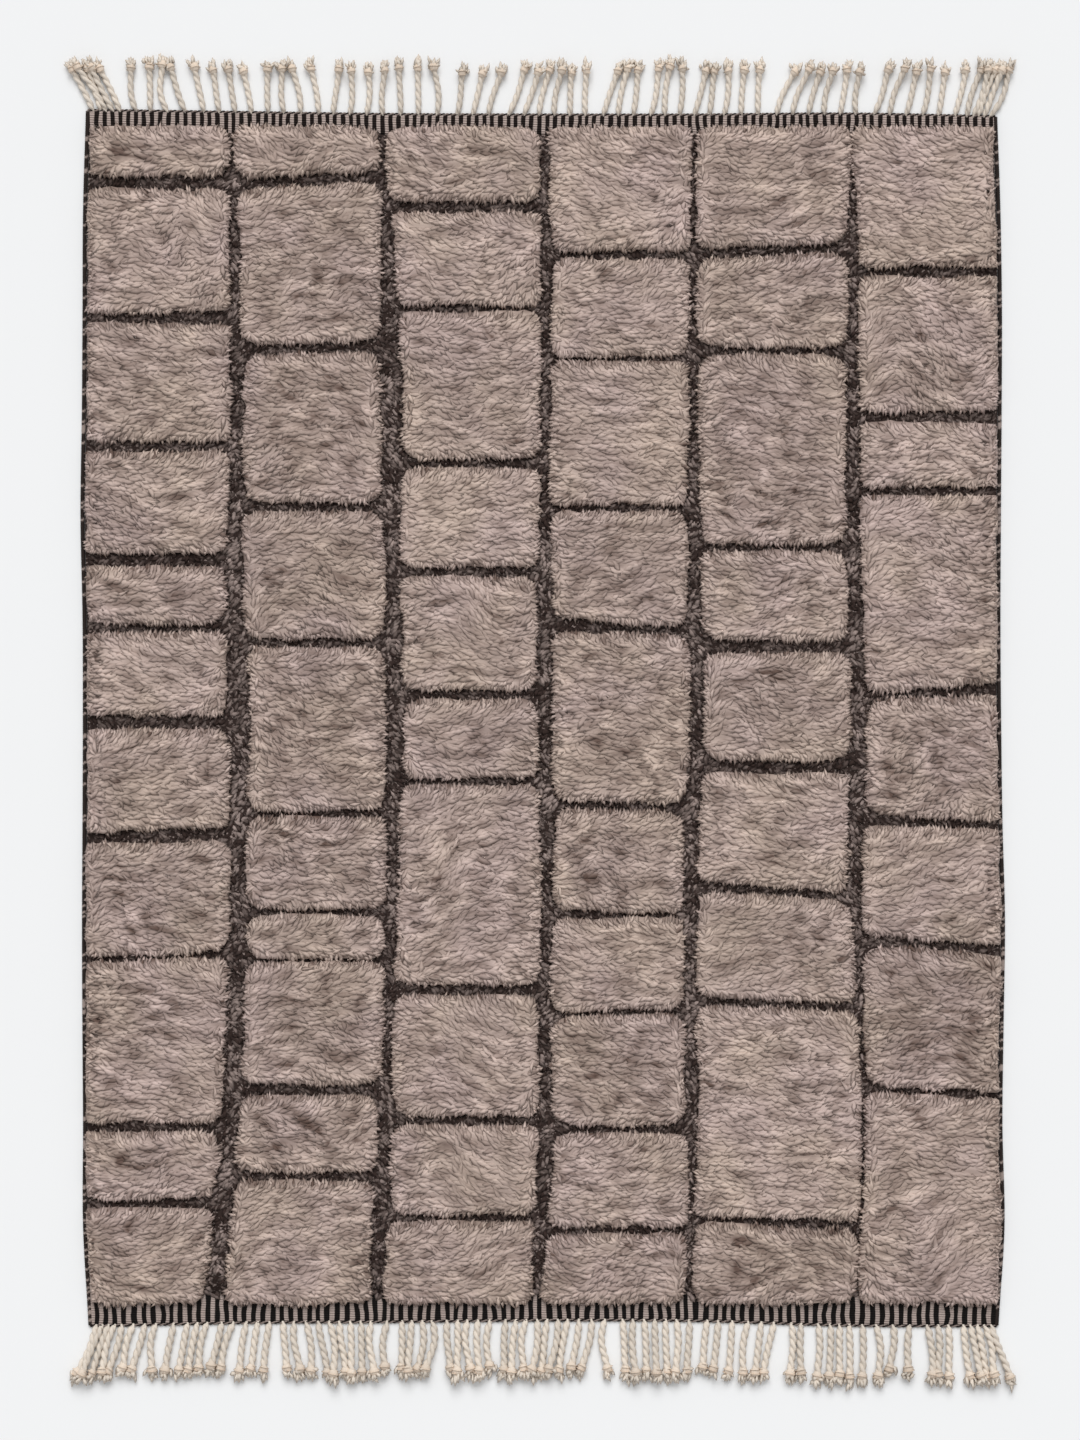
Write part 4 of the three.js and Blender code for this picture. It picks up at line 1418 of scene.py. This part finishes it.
def fringe_cord(wool, root, tip, edge, outward, reach, lift, ply, rng):
    """One cord of two twisted plies with a knot near its end and a loose tuft beyond the knot."""
    settings = bpy.context.scene.rug.fringe
    sway, bend = rng.normal(0, STRAND_SWAY, 2)
    tint = rng.uniform(0, 1)
    length = STRAND_ROOT + reach
    knot = settings.knot * ply * rng.uniform(*KNOT_SIZES)
    wrap = WRAP_RADIUS * ply
    rest, knot_rest = CORD_REST * ply, KNOT_SINK * knot + wrap

    def path(t):
        x = root + (tip - root) * t + sway * np.sin(TURN * t * STRAND_BENDS) + bend * np.sin(math.pi * t)
        y = edge + outward * (t * length - STRAND_ROOT)
        z = STRAND_HEIGHT + (rest - STRAND_HEIGHT) * ease(t, *CORD_RISE)
        z = z + (knot_rest - rest) * ease(t, *KNOT_APPROACH) + lift * ease(t, OVER_FROM, KNOT_START)
        return np.stack([x, y, z], -1)

    def between(start, end):
        return lambda t: path(start + (end - start) * t)

    start = rng.uniform(0, TURN)
    corded = KNOT_START * length
    for side in (0, math.pi):
        sweep(wool, PLY, between(0, KNOT_START), tint=tint, length=corded, along=WEAR["ply"],
              radius=lambda t: ply * grown(t, *ROOT_THIN),
              offset=lambda t: ply * PLY_OFFSET * grown(t, *ROOT_CLOSE),
              turn=lambda t: start + side + TURN * corded / settings.twist * t)
    half = KNOT_HALF / length
    sweep(wool, KNOT, between(KNOT_MIDDLE - half, KNOT_MIDDLE + half), knot, tint, 2 * KNOT_HALF,
          along=WEAR["knot"])
    winds = rng.choice((-1, 1)) * WRAP_WINDS
    low, high = KNOT_MIDDLE - WRAP_SHARE * half, KNOT_MIDDLE + WRAP_SHARE * half
    sweep(wool, WRAP, between(low, high), wrap, tint, WRAP_LENGTH, along=WEAR["wrap"],
          offset=knot * KNOT_SINK, turn=lambda t: start + winds * TURN * t)

    stray = rng.normal(0, HAIR_STRAY, HAIRS)
    heading = math.atan2(outward * length, tip - root) + stray
    away = path(np.array([KNOT_MIDDLE + half * HAIR_ROOT]))[0]
    origin = np.tile(away, (HAIRS, 1)) + rng.normal(0, HAIR_SCATTER * ply, (HAIRS, 3))
    origin[:, 2] = np.clip(origin[:, 2], HAIR_FLOOR["rooted"], away[2] + ply)
    hair = (1 - KNOT_MIDDLE) * length * rng.uniform(*HAIR_LENGTHS, HAIRS)
    hair = hair * (1 - HAIR_SHORTER["share"] * np.minimum(np.abs(stray), HAIR_SHORTER["stray"]))
    width = ply * rng.uniform(*HAIR_WIDTHS, HAIRS)
    droop = np.minimum(origin[:, 2] - HAIR_FLOOR["lying"], TUFT_DROOP * hair)
    rise = rng.uniform(*HAIR_RISES, HAIRS)
    lay_tufts(wool, origin, heading, rise, hair, width, droop, rng.normal(0, TUFT_CURL, HAIRS), tint)


def make_fringes():
    settings = bpy.context.scene.rug.fringe
    for name, table, stations, outward, ply in (
            ("top", TOP_FRINGE, TOP_EDGE, 1, settings.top_ply),
            ("bottom", BOTTOM_FRINGE, BOTTOM_EDGE, -1, settings.bottom_ply)):
        rng = np.random.default_rng(FRINGE_SEED + outward)
        wool = Wool()
        for root, tip, reach, lift in strands_of(table, rng):
            edge = float(band_edge_at(stations, root))
            fringe_cord(wool, root, tip, edge, outward, reach, lift, ply, rng)
        wool.piece(f"fringe_{name}", (fringe_yarn(),), f"end_band_{name}")


def declare_cloths():
    """Works out the ground's width and how far each woven end reaches from the field, and does nothing more
    with them.
    """
    width = 2 * ground_edge_at(0)
    for end, inner, stations in (("top", FIELD_TOP, TOP_EDGE), ("bottom", FIELD_BOTTOM, BOTTOM_EDGE)):
        reach = abs(sum(stations) / len(stations) * MM - inner)


def make_stage():
    """The floor, the soft light and the camera straight above."""
    scene = bpy.context.scene
    settings = scene.rug.stage
    bm = bmesh.new()
    bmesh.ops.create_grid(bm, x_segments=1, y_segments=1, size=FLOOR_SIZE)
    moved(bm, bm.verts[:], 0, 0, -FLOOR_DROP)
    mesh = bpy.data.meshes.new("floor")
    bm.to_mesh(mesh)
    bm.free()
    mesh.materials.append(floor_finish())
    linked("floor", mesh)

    sun = bpy.data.lights.new("soft_light", "SUN")
    sun.energy = settings.sun
    sun.angle = settings.sun_spread
    linked("soft_light", sun).rotation_euler = (settings.sun_slope - math.pi / 2, 0, 0)

    scene.world = bpy.data.worlds.new("studio")
    scene.world.use_nodes = True
    background = scene.world.node_tree.nodes["Background"].inputs
    background["Color"].default_value = (1, 1, 1, 1)
    background["Strength"].default_value = settings.sky
    scene.view_settings.view_transform = "Standard"

    lens = bpy.data.cameras.new("camera")
    lens.sensor_width = SENSOR
    lens.lens = SENSOR * CAMERA_HEIGHT / FRAME_HEIGHT
    lens.clip_end = CLIP_END
    scene.camera = linked("camera", lens)
    scene.camera.location = (*CAMERA_PLACE, CAMERA_HEIGHT)


# Operators


class RUG_OT_stage(Operator):
    """Make the floor, the soft light and the camera"""

    bl_idname = "rug.stage"
    bl_label = "Stage"

    def execute(self, context):
        make_stage()
        return {"FINISHED"}


class RUG_OT_ground(Operator):
    """Make the ground cloth and its short marled tufts"""

    bl_idname = "rug.ground"
    bl_label = "Ground"

    def execute(self, context):
        lay_ground_cloth()
        lay_ground_tufts()
        return {"FINISHED"}


class RUG_OT_pile(Operator):
    """Make the raised blocks of combed pile, a piece for each column"""

    bl_idname = "rug.pile"
    bl_label = "Pile"

    def execute(self, context):
        make_pile()
        return {"FINISHED"}


class RUG_OT_ends(Operator):
    """Make the striped woven ends and the cord twined along each"""

    bl_idname = "rug.ends"
    bl_label = "Woven Ends"

    def execute(self, context):
        make_ends()
        return {"FINISHED"}


class RUG_OT_selvedges(Operator):
    """Make the overcast side edges"""

    bl_idname = "rug.selvedges"
    bl_label = "Selvedges"

    def execute(self, context):
        make_selvedges()
        return {"FINISHED"}


class RUG_OT_fringes(Operator):
    """Make the knotted cords at both ends"""

    bl_idname = "rug.fringes"
    bl_label = "Fringes"

    def execute(self, context):
        make_fringes()
        declare_cloths()
        return {"FINISHED"}


OPERATORS = (RUG_OT_stage, RUG_OT_ground, RUG_OT_pile, RUG_OT_ends, RUG_OT_selvedges, RUG_OT_fringes)


class RUG_PT_panel(Panel):
    """The rug's pieces, in the order in which they are made"""

    bl_idname = "RUG_PT_panel"
    bl_label = "Relief Pile Rug"
    bl_space_type = "VIEW_3D"
    bl_region_type = "UI"
    bl_category = "Rug"

    def draw(self, context):
        for operator in OPERATORS:
            self.layout.operator(operator.bl_idname)
        for name in ("pile", "ground", "ends", "fringe", "stage"):
            settings = getattr(context.scene.rug, name)
            box = self.layout.box()
            box.label(text=name.title())
            for key in settings.__annotations__:
                box.prop(settings, key)


CLASSES = (PileSettings, GroundSettings, EndSettings, FringeSettings, StageSettings, RugSettings,
           *OPERATORS, RUG_PT_panel)


def register():
    for each in CLASSES:
        bpy.utils.register_class(each)
    bpy.types.Scene.rug = PointerProperty(name="Rug", description="The rug's settings", type=RugSettings)


def unregister():
    del bpy.types.Scene.rug
    for each in reversed(CLASSES):
        bpy.utils.unregister_class(each)


def main():
    register()
    bpy.ops.rug.stage()
    bpy.ops.rug.ground()
    bpy.ops.rug.pile()
    bpy.ops.rug.ends()
    bpy.ops.rug.selvedges()
    bpy.ops.rug.fringes()


if __name__ == "__main__":
    main()
